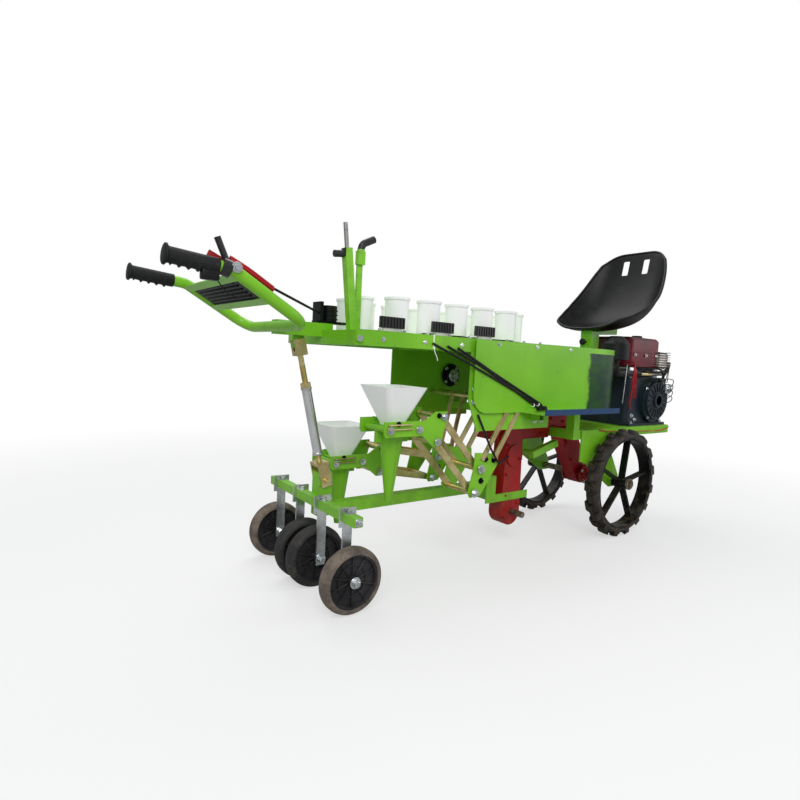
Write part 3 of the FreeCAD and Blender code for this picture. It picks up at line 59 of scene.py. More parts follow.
class Value:
    """A shader value that can be reckoned with: each sign adds the Math node that it stands for."""

    def __init__(self, finish, socket):
        self.finish, self.socket = finish, socket

    def reckon(self, operation, *values):
        return self.finish.node("Math", {"operation": operation}, values)

    def __add__(self, other):
        return self.reckon("ADD", self, other)

    def __sub__(self, other):
        return self.reckon("SUBTRACT", self, other)

    def __rsub__(self, other):
        return self.reckon("SUBTRACT", other, self)

    def __mul__(self, other):
        return self.reckon("MULTIPLY", self, other)

    def __lt__(self, other):
        return self.reckon("LESS_THAN", self, other)

    def __gt__(self, other):
        return self.reckon("GREATER_THAN", self, other)

    def __or__(self, other):
        return self.reckon("MAXIMUM", self, other)

    def __abs__(self):
        return self.reckon("ABSOLUTE", self)

    __radd__, __rmul__ = __add__, __mul__


class Shader:
    """The nodes of a material or world: node() adds any shader node and gives back one of its outputs."""

    def __init__(self, owner):
        owner.use_nodes = True
        self.tree = owner.node_tree

    def node(self, kind, settings={}, inputs=(), out=0):
        made = self.tree.nodes.new("ShaderNode" + kind)
        for key, value in settings.items():
            setattr(made, key, value)
        for key, value in inputs.items() if isinstance(inputs, dict) else enumerate(inputs):
            self.feed(made.inputs[key], value)
        return Value(self, made.outputs[out])

    def feed(self, socket, value):
        if isinstance(value, Value):
            self.tree.links.new(value.socket, socket)
        elif socket.type == "RGBA":
            socket.default_value = (*value, 1)
        else:
            socket.default_value = value


class Finish(Shader):
    """A material being put together. slot is the record's name for what its pieces are made of."""

    def __init__(self, name, slot=None, **fixed):
        self.material, self.slot = bpy.data.materials.new(name), slot or name
        super().__init__(self.material)
        self.surface = self.tree.nodes["Principled BSDF"]
        for socket, value in fixed.items():
            self.put(socket.replace("_", " "), value)

    def put(self, socket, value):
        self.feed(self.surface.inputs[socket], value)

    def mix(self, share, one, two):
        return self.node("Mix", {"data_type": "RGBA"}, {0: share, 6: one, 7: two}, 2)

    def place(self, stretch=(1, 1, 1)):
        where = self.node("TexCoord", out="Object")
        return self.node("Mapping", {}, {"Vector": where, "Scale": stretch})

    def noise(self, scale, detail=3.0, stretch=(1, 1, 1)):
        return self.node("TexNoise", {}, {"Vector": self.place(stretch), "Scale": scale, "Detail": detail})

    def spots(self, scale, low, high, detail=3.0, stretch=(1, 1, 1)):
        """Soft-edged patches, 0 to 1, of a noise between two of its levels."""
        return self.node("MapRange", {"interpolation_type": "SMOOTHSTEP"},
                         {"Value": self.noise(scale, detail, stretch), "From Min": low, "From Max": high})

    def axis(self, letter):
        return self.node("SeparateXYZ", {}, [self.place()], letter)

    def upward(self):
        """How far a face looks up: 1 on a level top, 0 on a wall."""
        return self.node("SeparateXYZ", {}, [self.node("NewGeometry", out="Normal")], "Z")

    def within(self, low, high):
        """1 inside a box between two corners and 0 outside it."""
        inside = 1.0
        for letter, least, most in zip("XYZ", low, high):
            inside = (abs(self.axis(letter) - (least + most) / 2) < (most - least) / 2) * inside
        return inside

    def bump(self, height, distance, strength=1.0):
        self.put("Normal", self.node("Bump", {}, {"Strength": strength, "Distance": distance,
                                                  "Height": height}))


def screen(red, green, blue):
    """A colour as a screen shows it, 0 to 255, for a shader."""
    return tuple(((part / 255 + 0.055) / 1.055) ** 2.4 if part > 10 else part / 3295
                 for part in (red, green, blue))


def pick(*pieces):
    """Selects just these objects, or none, and makes the first of them active."""
    if bpy.context.object and bpy.context.object.mode != "OBJECT":
        bpy.ops.object.mode_set(mode="OBJECT")
    bpy.ops.object.select_all(action="DESELECT")
    for piece in pieces:
        piece.select_set(True)
    if pieces:
        bpy.context.view_layer.objects.active = pieces[0]


pick()
bpy.ops.mesh.primitive_circle_add(vertices=96, radius=30, fill_type="NGON")
floor = bpy.context.object
floor.name = "floor"
floor_paint = Finish("white_floor", Roughness=0.75, Specular_IOR_Level=0.2)
reach = floor_paint.node("VectorMath", {"operation": "LENGTH"}, [floor_paint.place()], "Value")
far_off = floor_paint.node("MapRange", {"interpolation_type": "SMOOTHSTEP"},
                           {"Value": reach, "From Min": 1.5, "From Max": 4.0})
faced = floor_paint.node("LightPath", out="Is Camera Ray")
seen = faced | floor_paint.node("LightPath", out="Is Transmission Ray")
floor_paint.put("Base Color", floor_paint.mix(faced, (0.5, 0.5, 0.5), (0.9, 0.9, 0.9)))
glow = floor_paint.node("Emission", {}, {"Color": (1, 1, 1), "Strength": 1.0})
blend = floor_paint.node("MixShader", {}, {0: seen * (far_off * 0.45 + 0.55),
                                           1: Value(floor_paint, floor_paint.surface.outputs[0]), 2: glow})
floor_paint.feed(floor_paint.tree.nodes["Material Output"].inputs["Surface"], blend)
floor.data.materials.append(floor_paint.material)

world = bpy.data.worlds.new("white_room")
bpy.context.scene.world = world
room = Shader(world)
light = room.node("Background", {}, {"Color": (0.95, 0.97, 1.0), "Strength": 0.42})
white = room.node("Background", {}, {"Color": (1.0, 1.0, 1.0), "Strength": 1.0})
seen = room.node("LightPath", out="Is Camera Ray") | room.node("LightPath", out="Is Transmission Ray")
room.feed(room.tree.nodes["World Output"].inputs["Surface"], room.node("MixShader", {}, [seen, light, white]))

for name, spot, aim, power, width in (("key_lamp", (-2.6, -3.2, 3.4), (0, 0, 0.6), 96, 2.4),
                                      ("fill_lamp", (3.4, -2.6, 2.2), (0.3, 0, 0.6), 34, 2.6),
                                      ("top_lamp", (0.2, 1.6, 3.9), (0, 0, 0.5), 66, 3.0)):
    lamp = bpy.data.lights.new(name, "AREA")
    lamp.energy, lamp.size = power, width
    hung = bpy.data.objects.new(name, lamp)
    bpy.context.scene.collection.objects.link(hung)
    hung.location = spot
    hung.rotation_euler = (Vector(aim) - Vector(spot)).to_track_quat("-Z", "Y").to_euler()

eye = Vector((-1.5615, -1.6174, 0.7837))
heading, dip, roll = math.radians(-36.661), math.radians(4.602), math.radians(2.953)
camera = bpy.data.objects.new("camera", bpy.data.cameras.new("camera"))
camera.data.sensor_width, camera.data.lens = 36, 24.296
camera.matrix_world = (Matrix.Translation(eye) @ Matrix.Rotation(heading, 4, "Z")
                       @ Matrix.Rotation(math.pi / 2 - dip, 4, "X") @ Matrix.Rotation(roll, 4, "Z"))
bpy.context.scene.collection.objects.link(camera)
bpy.context.scene.camera = camera
bpy.context.scene.view_settings.view_transform = "Standard"

# ---------------------------------------------------------------- lime frame, beams and sheet covers
# Welded square tube and folded sheet under lime enamel. The enamel is glossy, a little uneven in tone,
# dusty on what faces up, rubbed on its edges and chipped to the dark steel here and there.

DUST, STREAKS, BARED, SOIL = (screen(176, 172, 140), screen(70, 84, 40), screen(58, 56, 48),
                              screen(120, 104, 78))


def enamel(name, slot, colour, deep, rough=0.3, dust=0.14, chips=0.70, dirt=0.0, gloss=0.35):
    """A sprayed enamel with uneven tone, dust on upward faces, worn edges, chips and soil low down."""
    coat = Finish(name, slot, Roughness=rough, Coat_Weight=0.12, Coat_Roughness=0.12,
                  Specular_IOR_Level=gloss)
    tone = coat.mix(coat.spots(2.6, 0.35, 0.68), colour, deep)
    lying = (coat.upward() > 0.6) * coat.spots(17, 0.40, 0.72, 5) * dust
    tone = coat.mix(lying, tone, DUST)
    streak = coat.spots(9, 0.56, 0.72, 4, (1, 1, 0.18)) * 0.16
    tone = coat.mix(streak, tone, STREAKS)
    worn = edge_of(coat, 0.0018) * coat.spots(60, 0.46, 0.64, 4) * 0.6
    chip = coat.spots(95, chips, chips + 0.03, 3)
    tone = coat.mix(worn | chip * 0.6, tone, BARED)
    if dirt:
        low = coat.node("MapRange", {}, {"Value": coat.axis("Z"), "From Min": dirt, "From Max": 0.05})
        tone = coat.mix(low * coat.spots(30, 0.42, 0.70, 5) * 0.35, tone, SOIL)
    coat.put("Base Color", tone)
    coat.put("Roughness", rough + lying * 0.9 + chip * 0.3 + coat.noise(40) * 0.06)
    coat.bump(coat.noise(160, 2) * 0.5 - chip * 0.6 + coat.noise(14) * 0.4, 0.0012, 0.25)
    return coat


def edge_of(coat, radius):
    """1 along the sharp edges of a piece and 0 on its faces."""
    round_normal = coat.node("Bevel", {"samples": 4}, {"Radius": radius})
    flat = coat.node("NewGeometry", out="Normal")
    along = coat.node("VectorMath", {"operation": "DOT_PRODUCT"}, [round_normal, flat], "Value")
    return coat.node("MapRange", {}, {"Value": along, "From Min": 0.985, "From Max": 0.86})


def clad(finish, *names):
    """Gives CAD nodes a finish."""
    for name in names:
        nodes[name].data.materials.clear()
        nodes[name].data.materials.append(finish.material)


LIME, LIME_DEEP = screen(136, 209, 44), screen(117, 191, 34)
lime = enamel("lime_enamel", "lime_paint", LIME, LIME_DEEP, dirt=0.45)
clad(lime, "top_frame", "cup_deck", "side_plates", "engine_frame", "rear_arm", "seat_post", "knees",
     "handlebar", "press_bar")
clad(lime, *(f"{row}_{part}" for row in ("near", "far") for part in ("carrier", "rear_jaw", "front_jaw")))

# ---------------------------------------------------------------- red cases, engine colours and plain metals
# The gear cases are red gloss enamel on iron, the engine dark blue-grey and maroon. Small steel parts
# are zinc plated, yellow or bright, and shafts are bare and dull.

red = enamel("red_enamel", "red_paint", screen(190, 10, 22), screen(146, 6, 16), rough=0.28, dust=0.08,
             chips=0.72, dirt=0.35, gloss=0.3)
clad(red, "gearbox", "drive_case", "planting_case")
maroon = enamel("maroon_enamel", "maroon_paint", screen(112, 2, 26), screen(52, 2, 14), rough=0.22, dust=0.05,
                chips=0.74, gloss=0.3)
clad(maroon, "fuel_tank")
casting = enamel("engine_enamel", "engine_paint", screen(30, 44, 54), screen(16, 23, 30), rough=0.42, dust=0.08,
                 chips=0.68, gloss=0.25)
clad(casting, "engine_block", "flywheel_cover")


RUST = screen(70, 52, 36)


def metal(name, colour, deep, rough, smear=0.35, slot=None):
    """Plated or bare steel: blotchy tone, a fine grain, finger-dull patches and a few dark specks."""
    coat = Finish(name, slot, Metallic=0.92, Roughness=rough)
    tone = coat.mix(coat.spots(22, 0.36, 0.66, 4), colour, deep)
    tone = coat.mix(coat.spots(120, 0.63, 0.70, 3) * smear, tone, RUST)
    coat.put("Base Color", tone)
    coat.put("Roughness", rough + coat.noise(55, 4) * 0.18)
    coat.bump(coat.noise(320, 2), 0.0006, 0.3)
    return coat


yellow_zinc = metal("yellow_zinc", screen(230, 214, 156), screen(202, 182, 126), 0.26, 0.15)
bright_zinc = metal("bright_zinc", screen(226, 228, 230), screen(192, 196, 200), 0.18, 0.12)
polished = metal("polished_steel", screen(226, 226, 226), screen(212, 212, 212), 0.10, 0.04)
bare_steel = metal("bare_steel", screen(168, 156, 142), screen(112, 98, 84), 0.4, 0.7)
clad(yellow_zinc, "link_ends", "knee_struts", "near_upper_arm", "near_lower_arm", "far_upper_arm",
     "far_lower_arm")
clad(bright_zinc, "press_hangers")
clad(polished, "link_tube")
clad(bare_steel, "drive_axle", "crank_stub")

# ---------------------------------------------------------------- black parts, white parts
# Satin black steel, moulded black plastic, black rubber and white translucent plastic. The white one
# glows a little, for the light that comes through its thin walls.

GREY_DUST = screen(126, 122, 112)


def moulded(name, colour, deep, rough, grain, dust=0.15, slot=None):
    """A moulded plastic or rubber: fine pebbled grain, faint scuffs and dust that settles on top."""
    coat = Finish(name, slot, Roughness=rough, Specular_IOR_Level=0.3)
    lying = (coat.upward() > 0.4) * coat.spots(24, 0.42, 0.70, 5) * dust
    scuff = coat.spots(34, 0.60, 0.70, 5, (1, 0.25, 1)) * min(dust * 1.4, 0.3)
    tone = coat.mix(coat.spots(5, 0.35, 0.65), colour, deep)
    tone = coat.mix(lying | scuff * 0.5, tone, GREY_DUST)
    coat.put("Base Color", tone)
    coat.put("Roughness", rough + lying + scuff * 0.2)
    coat.bump(coat.noise(grain, 2), 0.0008, 0.35)
    return coat


black_plastic = moulded("black_plastic", screen(17, 18, 20), screen(10, 11, 12), 0.42, 900)
black_rubber = moulded("black_rubber", screen(30, 31, 32), screen(21, 21, 22), 0.6, 700, 0.08)
black_steel = enamel("black_enamel", "black_steel", screen(18, 19, 21), screen(11, 12, 13), rough=0.42,
                     dust=0.04, chips=0.74, dirt=0.3, gloss=0.15)
white_plastic = moulded("white_plastic", screen(250, 250, 250), screen(243, 245, 244), 0.3, 420, 0.02)
white_plastic.put("Emission Color", (1.0, 1.0, 1.0))
white_plastic.put("Emission Strength", 0.10)
clad(black_plastic, "seat", "air_cleaner", "cup_track")
clad(black_rubber, "handle_grips", "control_cables", "near_drive_tyre", "far_drive_tyre",
     *(f"{name}_press_tyre" for name in ("far_outer", "far_inner", "near_inner", "near_outer")))
clad(black_steel, "near_drive_wheel", "far_drive_wheel", "handle_tray", "stem_spool")
clad(white_plastic, "seedling_cups", "near_funnel", "far_funnel")

# ---------------------------------------------------------------- drive tyres
# Narrow field tyres of black rubber on a steel band, with slanting lugs that wrap over both shoulders.
# Dried soil is caked on the rubber in patches.


def drawn(name, points):
    """A line of edges: one point, extruded along from place to place. It stays in edit mode."""
    pick()
    bpy.ops.mesh.primitive_plane_add(size=0.01, location=points[0])
    piece = bpy.context.object
    piece.name = name
    bpy.ops.object.transform_apply(location=True)
    bpy.ops.object.mode_set(mode="EDIT")
    bpy.ops.mesh.merge(type="CENTER")
    for before, after in zip(points, points[1:]):
        bpy.ops.mesh.extrude_region_move(TRANSFORM_OT_translate={"value": Vector(after) - Vector(before)})
    return piece


def turned(name, outline, centre, axis=(0, 1, 0), steps=64):
    """A turned piece: an outline of (place along the axis, radius) points spun right round it."""
    axis, centre = Vector(axis).normalized(), Vector(centre)
    out = axis.orthogonal().normalized()
    piece = drawn(name, [centre + axis * place + out * radius for place, radius in outline])
    bpy.ops.mesh.select_all(action="SELECT")
    bpy.ops.mesh.spin(steps=steps, angle=2 * math.pi, center=centre, axis=axis)
    bpy.ops.mesh.select_all(action="SELECT")
    bpy.ops.mesh.remove_doubles(threshold=0.00002)
    bpy.ops.mesh.normals_make_consistent(inside=False)
    bpy.ops.object.mode_set(mode="OBJECT")
    return piece


def copy_of(piece, matrix):
    """A copy with its own mesh, moved by a matrix."""
    twin = piece.copy()
    twin.data = piece.data.copy()
    bpy.context.scene.collection.objects.link(twin)
    twin.data.transform(matrix)
    if matrix.is_negative:
        twin.data.flip_normals()
    return twin


def joined(name, pieces):
    """Several objects made one."""
    pick(*pieces)
    if len(pieces) > 1:
        bpy.ops.object.join()
    pieces[0].name = name
    return pieces[0]


def settle(piece, finish, body="frame", angle=38):
    """Ends a piece: its place goes into its mesh, and it gets smooth faces, a finish and a body."""
    pick(piece)
    bpy.ops.object.transform_apply(location=True, rotation=True, scale=True)
    bpy.ops.object.shade_smooth_by_angle(angle=math.radians(angle))
    piece.data.materials.clear()
    piece.data.materials.append(finish.material)
    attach(piece, body)


def round_about(count, centre, axis="Y", start=0.0):
    """The turns of a ring of like pieces about an axis through a centre."""
    shift = Matrix.Translation(centre)
    return [shift @ Matrix.Rotation(start + 2 * math.pi * index / count, 4, axis) @ shift.inverted()
            for index in range(count)]


def mirror_about(centre):
    """The mirror image through a wheel's middle plane."""
    return Matrix.Translation(centre) @ Matrix.Scale(-1, 4, (0, 1, 0)) @ Matrix.Translation(-centre)


def open_faces(piece, way):
    """Opens a piece in edit mode with only the faces selected that look a certain way."""
    bpy.ops.object.mode_set(mode="EDIT")
    bpy.ops.mesh.select_all(action="DESELECT")
    bpy.ops.object.mode_set(mode="OBJECT")
    for face in piece.data.polygons:
        face.select = face.normal.dot(Vector(way)) > 0.9
    bpy.ops.object.mode_set(mode="EDIT")


def soften(piece, width):
    """Rounds all the edges of the active piece."""
    edge = piece.modifiers.new("soften", "BEVEL")
    edge.width, edge.segments = width, 2
    bpy.ops.object.modifier_apply(modifier="soften")


def soiled_rubber(name, slot, colour, soil, low, high, grain=240):
    """Tyre rubber with patches of dried soil between two levels of a noise."""
    coat = Finish(name, slot, Roughness=0.8)
    caked = coat.spots(26, low, high, 6) * 0.75 + coat.spots(150, 0.45, 0.6, 4) * 0.25
    tone = coat.mix(coat.spots(9, 0.4, 0.66, 4), colour, tuple(part * 0.6 for part in colour))
    coat.put("Base Color", coat.mix(caked, tone, soil))
    coat.put("Roughness", 0.62 + caked * 0.3)
    coat.bump(caked * 0.6 + coat.noise(grain, 3) * 0.5, 0.0014, 0.5)
    return coat


drive_rubber = soiled_rubber("drive_rubber", "drive_tyre", screen(40, 37, 34), screen(92, 76, 60), 0.48, 0.76)
outer_radius, crown, rim, lug_pairs = 0.250, 0.2355, 0.2122, 16
for side in ("near", "far"):
    low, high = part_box(f"{side}_drive_tyre")
    middle, half = (low + high) / 2, (high.y - low.y) / 2
    casing = turned(f"{side}_drive_casing", [
        (-half + 0.003, rim), (-half + 0.0005, 0.218), (-half + 0.0015, 0.226), (-half + 0.009, 0.2325),
        (-0.008, crown), (0.008, crown), (half - 0.009, 0.2325), (half - 0.0015, 0.226),
        (half - 0.0005, 0.219), (half - 0.003, rim), (-half + 0.003, rim)], middle, steps=96)
    pick()
    bpy.ops.mesh.primitive_cube_add(size=1, location=(0, 0, 0))
    lug = bpy.context.object
    lug.scale = (0.029, 0.007, 0.020)
    bpy.ops.object.transform_apply(scale=True)
    open_faces(lug, (0, 1, 0))
    for step, share in (((0.004, 0.010, -0.0005), 1.08), ((0.006, 0.011, -0.003), 1.12),
                        ((0.005, 0.006, -0.009), 0.98), ((0.003, 0.0015, -0.012), 0.72)):
        bpy.ops.mesh.extrude_region_move(TRANSFORM_OT_translate={"value": step})
        bpy.ops.transform.resize(value=(share, 1, share))
    bpy.ops.object.mode_set(mode="OBJECT")
    lug.data.transform(Matrix.Translation(middle + Vector((-0.008, 0.0, outer_radius - 0.0095))))
    soften(lug, 0.0028)
    lugs = [copy_of(lug, turn) for turn in round_about(lug_pairs, middle)]
    lugs += [copy_of(lug, turn @ mirror_about(middle))
             for turn in round_about(lug_pairs, middle, start=math.pi / lug_pairs)]
    bpy.data.objects.remove(lug)
    tyre = joined(f"{side}_drive_tyre_lugged", [casing] + lugs)
    settle(tyre, drive_rubber, f"{side}_drive", 30)
    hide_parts(f"{side}_drive_tyre")

# ---------------------------------------------------------------- press wheels
# Four small wheels that close the soil: a round rubber tyre on a moulded disc with ribs like spokes.
# The outer pair is grey-brown with dried soil, the inner pair nearly black.

worn_rubber = soiled_rubber("worn_rubber", "press_tyre", screen(96, 86, 78), screen(140, 126, 112), 0.36, 0.68,
                            420)
dark_rubber = soiled_rubber("dark_rubber", "press_tyre", screen(44, 43, 44), screen(82, 76, 70), 0.50, 0.76,
                            420)
disc_plastic = moulded("disc_plastic", screen(56, 55, 58), screen(38, 38, 40), 0.5, 500, 0.3, "black_plastic")
rim, crown, spokes = 0.0842, 0.1030, 10
for name in ("far_outer", "far_inner", "near_inner", "near_outer"):
    low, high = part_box(f"{name}_press_tyre")
    middle, half = (low + high) / 2, (high.y - low.y) / 2
    tyre = turned(f"{name}_press_tyre_round", [
        (-half, rim), (-half, 0.0905), (-half + 0.003, 0.0965), (-half + 0.010, 0.1012), (-0.008, crown),
        (0.008, crown), (half - 0.010, 0.1012), (half - 0.003, 0.0965), (half, 0.0905), (half, rim),
        (-half, rim)], middle, steps=72)
    settle(tyre, worn_rubber if name.endswith("outer") else dark_rubber, f"{name}_press", 45)
    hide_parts(f"{name}_press_tyre")
    pick()
    bpy.ops.mesh.primitive_cube_add(size=1, location=middle + Vector((0, 0.0085, 0.047)))
    rib = bpy.context.object
    rib.scale = (0.0035, 0.008, 0.062)
    bpy.ops.object.transform_apply(location=True, scale=True)
    soften(rib, 0.0011)
    ribs = [copy_of(rib, turn) for turn in round_about(spokes, middle)]
    ribs += [copy_of(rib, turn @ mirror_about(middle)) for turn in round_about(spokes, middle)]
    bpy.data.objects.remove(rib)
    for offset in (0.0075, -0.0075):
        ribs.append(turned("ring", [(offset + across, radius) for across, radius in (
            (-0.003, 0.0475), (0.003, 0.0475), (0.003, 0.0505), (-0.003, 0.0505), (-0.003, 0.0475))],
            middle, steps=48))
    settle(joined(f"{name}_press_ribs", ribs), disc_plastic, f"{name}_press")
    clad(disc_plastic, f"{name}_press_disc")

# ---------------------------------------------------------------- handlebar grips
# Black rubber grips pushed on the bar's ends: a flange at the free end, fine rings all round and a row
# of finger ridges along the underside.

grip_low, grip_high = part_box("handle_grips")
for side, sign in (("near", -1), ("far", 1)):
    y = sign * (grip_high.y - 0.027)
    start = Vector((grip_low.x + 0.0028, y, grip_high.z - 0.0268))
    end = Vector((grip_high.x - 0.002, y, grip_low.z + 0.0212))
    heading, length = (end - start).normalized(), (end - start).length
    outline = [(0.0, 0.0), (0.0, 0.0225), (0.002, 0.0262), (0.0065, 0.0268), (0.0092, 0.0225)]
    rings, ridge_step, ridge_height = 60, 0.0225, 0.0055
    for index in range(rings + 1):
        outline.append((0.012 + (length - 0.016) * index / rings, 0.0206 - 0.0005 * (index % 2)))
    outline += [(length - 0.002, 0.0204), (length, 0.0192), (length, 0.0168)]
    grip = turned(f"{side}_grip", outline, start, heading, steps=32)
    for vertex in grip.data.vertices:
        along = (vertex.co - start).dot(heading)
        out = vertex.co - start - heading * along
        if 0.018 < along < length - 0.022 and out.length > 0.01:
            under = max(0.0, -out.normalized().z) ** 1.5
            ridge = max(0.0, math.cos(2 * math.pi * (along - 0.018) / ridge_step)) ** 1.5
            vertex.co += out.normalized() * (ridge_height * ridge * under)
    settle(grip, black_rubber, angle=50)
    if sign < 0:
        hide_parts("handle_grips")

# ---------------------------------------------------------------- levers, posts and painted hardware
# Some pieces have more than one finish: a red blade beside a black handle and clamp, a lime post with a
# black sleeve and a bare rod in its top, a lime lever with a black knob, pale blocks with black ribs, and
# lime foot boards with a blue outer edge.


def parted(name, base, zones):
    """A finish of several colours on one piece: each zone is a box, a colour, its metal and its roughness."""
    coat = Finish(name, Coat_Weight=0.2)
    dull = coat.spots(30, 0.4, 0.68, 5)
    tone = coat.mix(dull * 0.35, base, tuple(part * 0.55 for part in base))
    metallic, roughness = 0.0, 0.35 + dull * 0.12
    for low, high, colour, metal_share, zone_rough in zones:
        inside = coat.within(low, high)
        tone = coat.mix(inside, tone, coat.mix(dull * 0.4, colour, tuple(part * 0.5 for part in colour)))
        metallic = metallic * (1 - inside) + inside * metal_share
        roughness = roughness * (1 - inside) + inside * (dull * 0.15 + zone_rough)
    chip = coat.spots(90, 0.68, 0.71)
    coat.put("Base Color", coat.mix(chip * 0.7, tone, screen(60, 56, 50)))
    coat.put("Metallic", metallic)
    coat.put("Roughness", roughness)
    coat.bump(coat.noise(180, 2), 0.0008, 0.25)
    return coat


BLACK, STEEL, BLADE_RED, PALE, BLUE = (screen(30, 30, 32), screen(176, 174, 170), screen(176, 30, 34),
                                      screen(214, 212, 206), screen(6, 62, 112))
low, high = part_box("hand_levers")
pivot_x = high.x - 0.104
clad(parted("lever_finish", BLADE_RED, [
    ((low.x - 1, low.y - 1, high.z - 0.046), (pivot_x + 0.004, low.y + 0.040, high.z + 1), BLACK, 0.0, 0.45),
    ((low.x - 1, low.y - 1, low.z - 1), (pivot_x + 0.02, low.y + 0.040, high.z - 0.046), BLACK, 0.0, 0.35)]),
    "hand_levers")
low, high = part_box("marker_post")
clad(parted("marker_finish", LIME, [
    ((low.x - 1, low.y - 1, high.z - 0.078), (high.x + 1, high.y + 1, high.z + 1), STEEL, 0.9, 0.4),
    ((low.x - 1, low.y - 1, low.z + 0.222), (low.x + 0.036, high.y + 1, high.z - 0.078), BLACK, 0.0, 0.5)]),
    "marker_post")
low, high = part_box("lift_lever")
clad(parted("lift_finish", LIME, [
    ((low.x - 1, low.y - 1, high.z - 0.051), (low.x + 0.2, high.y + 1, high.z + 1), BLACK, 0.0, 0.45)]),
    "lift_lever")
low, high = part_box("ribbed_guides")
clad(parted("guide_finish", BLACK, [
    ((low.x - 1, low.y - 1, low.z - 1), (high.x + 1, high.y + 1, low.z + 0.0101), PALE, 0.0, 0.5)]),
    "ribbed_guides")
low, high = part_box("foot_boards")
clad(parted("tread_finish", LIME, [
    ((low.x - 1, low.y - 1, low.z), (high.x + 1, low.y + 0.0042, high.z + 1), BLUE, 0.0, 0.3)]),
    "foot_boards")

# ---------------------------------------------------------------- hood
# The folded cover is lime enamel. On its rolled engine end a dark blue-green painted reflection is laid into
# the colour, ragged along its edge, with a few black specks below.

low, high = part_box("hood")
cover = enamel("hood_enamel", "lime_paint", LIME, LIME_DEEP, rough=0.22, dirt=0.3)
surface = cover.surface.inputs["Base Color"].links[0].from_socket
# Painted reflection: past a ragged line along X, the rolled engine end is coloured dark blue-green for the
# reflection it shows.
reflection_edge = high.x - 0.285
painted_reflection = cover.node("MapRange", {"interpolation_type": "SMOOTHSTEP"}, {
    "Value": cover.axis("X") + (cover.noise(11, 5) - 0.5) * 0.10, "From Min": reflection_edge - 0.012,
    "From Max": reflection_edge + 0.012})
painted_reflection = painted_reflection * (cover.axis("Z") < high.z - 0.022)
reflection_tint = cover.mix(cover.spots(14, 0.36, 0.66, 5, (1, 1, 2.5)), screen(0, 46, 40), screen(14, 74, 8))
speck = cover.spots(70, 0.62, 0.66, 2) * (cover.axis("X") > high.x - 0.27) * (cover.axis("Z") < low.z + 0.06)
tone = cover.mix(painted_reflection * 0.97, Value(cover, surface), reflection_tint)
cover.put("Base Color", cover.mix(speck * (cover.axis("Z") > low.z + 0.03) * 0.9, tone, BLACK))
clad(cover, "hood")

# ---------------------------------------------------------------- bolts
# Zinc plated hexagon bolts and nuts on thin washers hold the plates, cases, pins and covers. The black
# ones hold the knees and the planters' plates.


def hexagon():
    """One bolt head of unit width across its flats, standing on a washer and pointing along +Z."""
    head_height, washer = 0.65, 0.14
    pick()
    bpy.ops.mesh.primitive_cylinder_add(vertices=6, radius=0.577, depth=head_height,
                                        location=(0, 0, head_height / 2 + washer))
    head = bpy.context.object
    open_faces(head, UP)
    bpy.ops.mesh.inset(thickness=0.07, depth=0.05)
    pick()
    bpy.ops.mesh.primitive_cylinder_add(vertices=20, radius=0.95, depth=washer, location=(0, 0, washer / 2))
    ring = bpy.context.object
    bpy.ops.object.mode_set(mode="EDIT")
    bpy.ops.mesh.bevel(offset=0.03, segments=1)
    bpy.ops.object.mode_set(mode="OBJECT")
    head = joined("head", [head, ring])
    bpy.ops.object.transform_apply(location=True)
    return head


NEAR, FAR, UP, REAR = (0, -1, 0), (0, 1, 0), (0, 0, 1), (-1, 0, 0)
pattern = hexagon()


def bolts(name, places, way, width, finish=bright_zinc, body="frame"):
    """A set of bolts: copies of one head, so wide across its flats, at places on a face that looks one way."""
    turn = Vector(UP).rotation_difference(Vector(way)).to_matrix().to_4x4()
    heads = [copy_of(pattern, Matrix.Translation(place) @ turn @ Matrix.Rotation(0.4 * index, 4, "Z")
                     @ Matrix.Scale(width, 4)) for index, place in enumerate(places)]
    settle(joined(name, heads), finish, body, 30)


def ring_of_spots(centre, y, radius, count, start):
    """Places at equal steps round a circle that faces along Y."""
    return [turn @ Vector((centre[0] + radius, y, centre[2]))
            for turn in round_about(count, Vector(centre), start=start)]


black_bolt = metal("black_bolt", screen(40, 40, 42), screen(26, 26, 28), 0.35, slot="black_steel")

rail_low, rail_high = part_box("top_frame")
deck_low, deck_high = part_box("cup_deck")
hood_low, hood_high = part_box("hood")
plate_low, plate_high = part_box("side_plates")
for side, sign, way in (("near", -1, NEAR), ("far", 1, FAR)):
    y = sign * rail_high.y
    bolts(f"{side}_rail_bolts", [(deck_low.x + 0.06 + 0.165 * i, y, 0.834) for i in range(3)], way, 0.008)
    bolts(f"{side}_deck_bolts",
          [(deck_low.x + 0.05 + 0.0955 * i, y - sign * 0.009, deck_high.z) for i in range(9)], UP, 0.009)
    bolts(f"{side}_hood_bolts", [(hood_low.x + share * (hood_high.x - hood_low.x), sign * hood_high.y,
                                  hood_high.z - 0.014) for share in (0.12, 0.34, 0.56)], way, 0.008)
    bolts(f"{side}_plate_bolts", [(plate_low.x + dx, sign * plate_high.y, plate_low.z + dz) for dx, dz in
                                  ((0.022, 0.105), (0.05, 0.105), (0.022, 0.15), (0.40, 0.03), (0.36, 0.03))],
          way, 0.011)

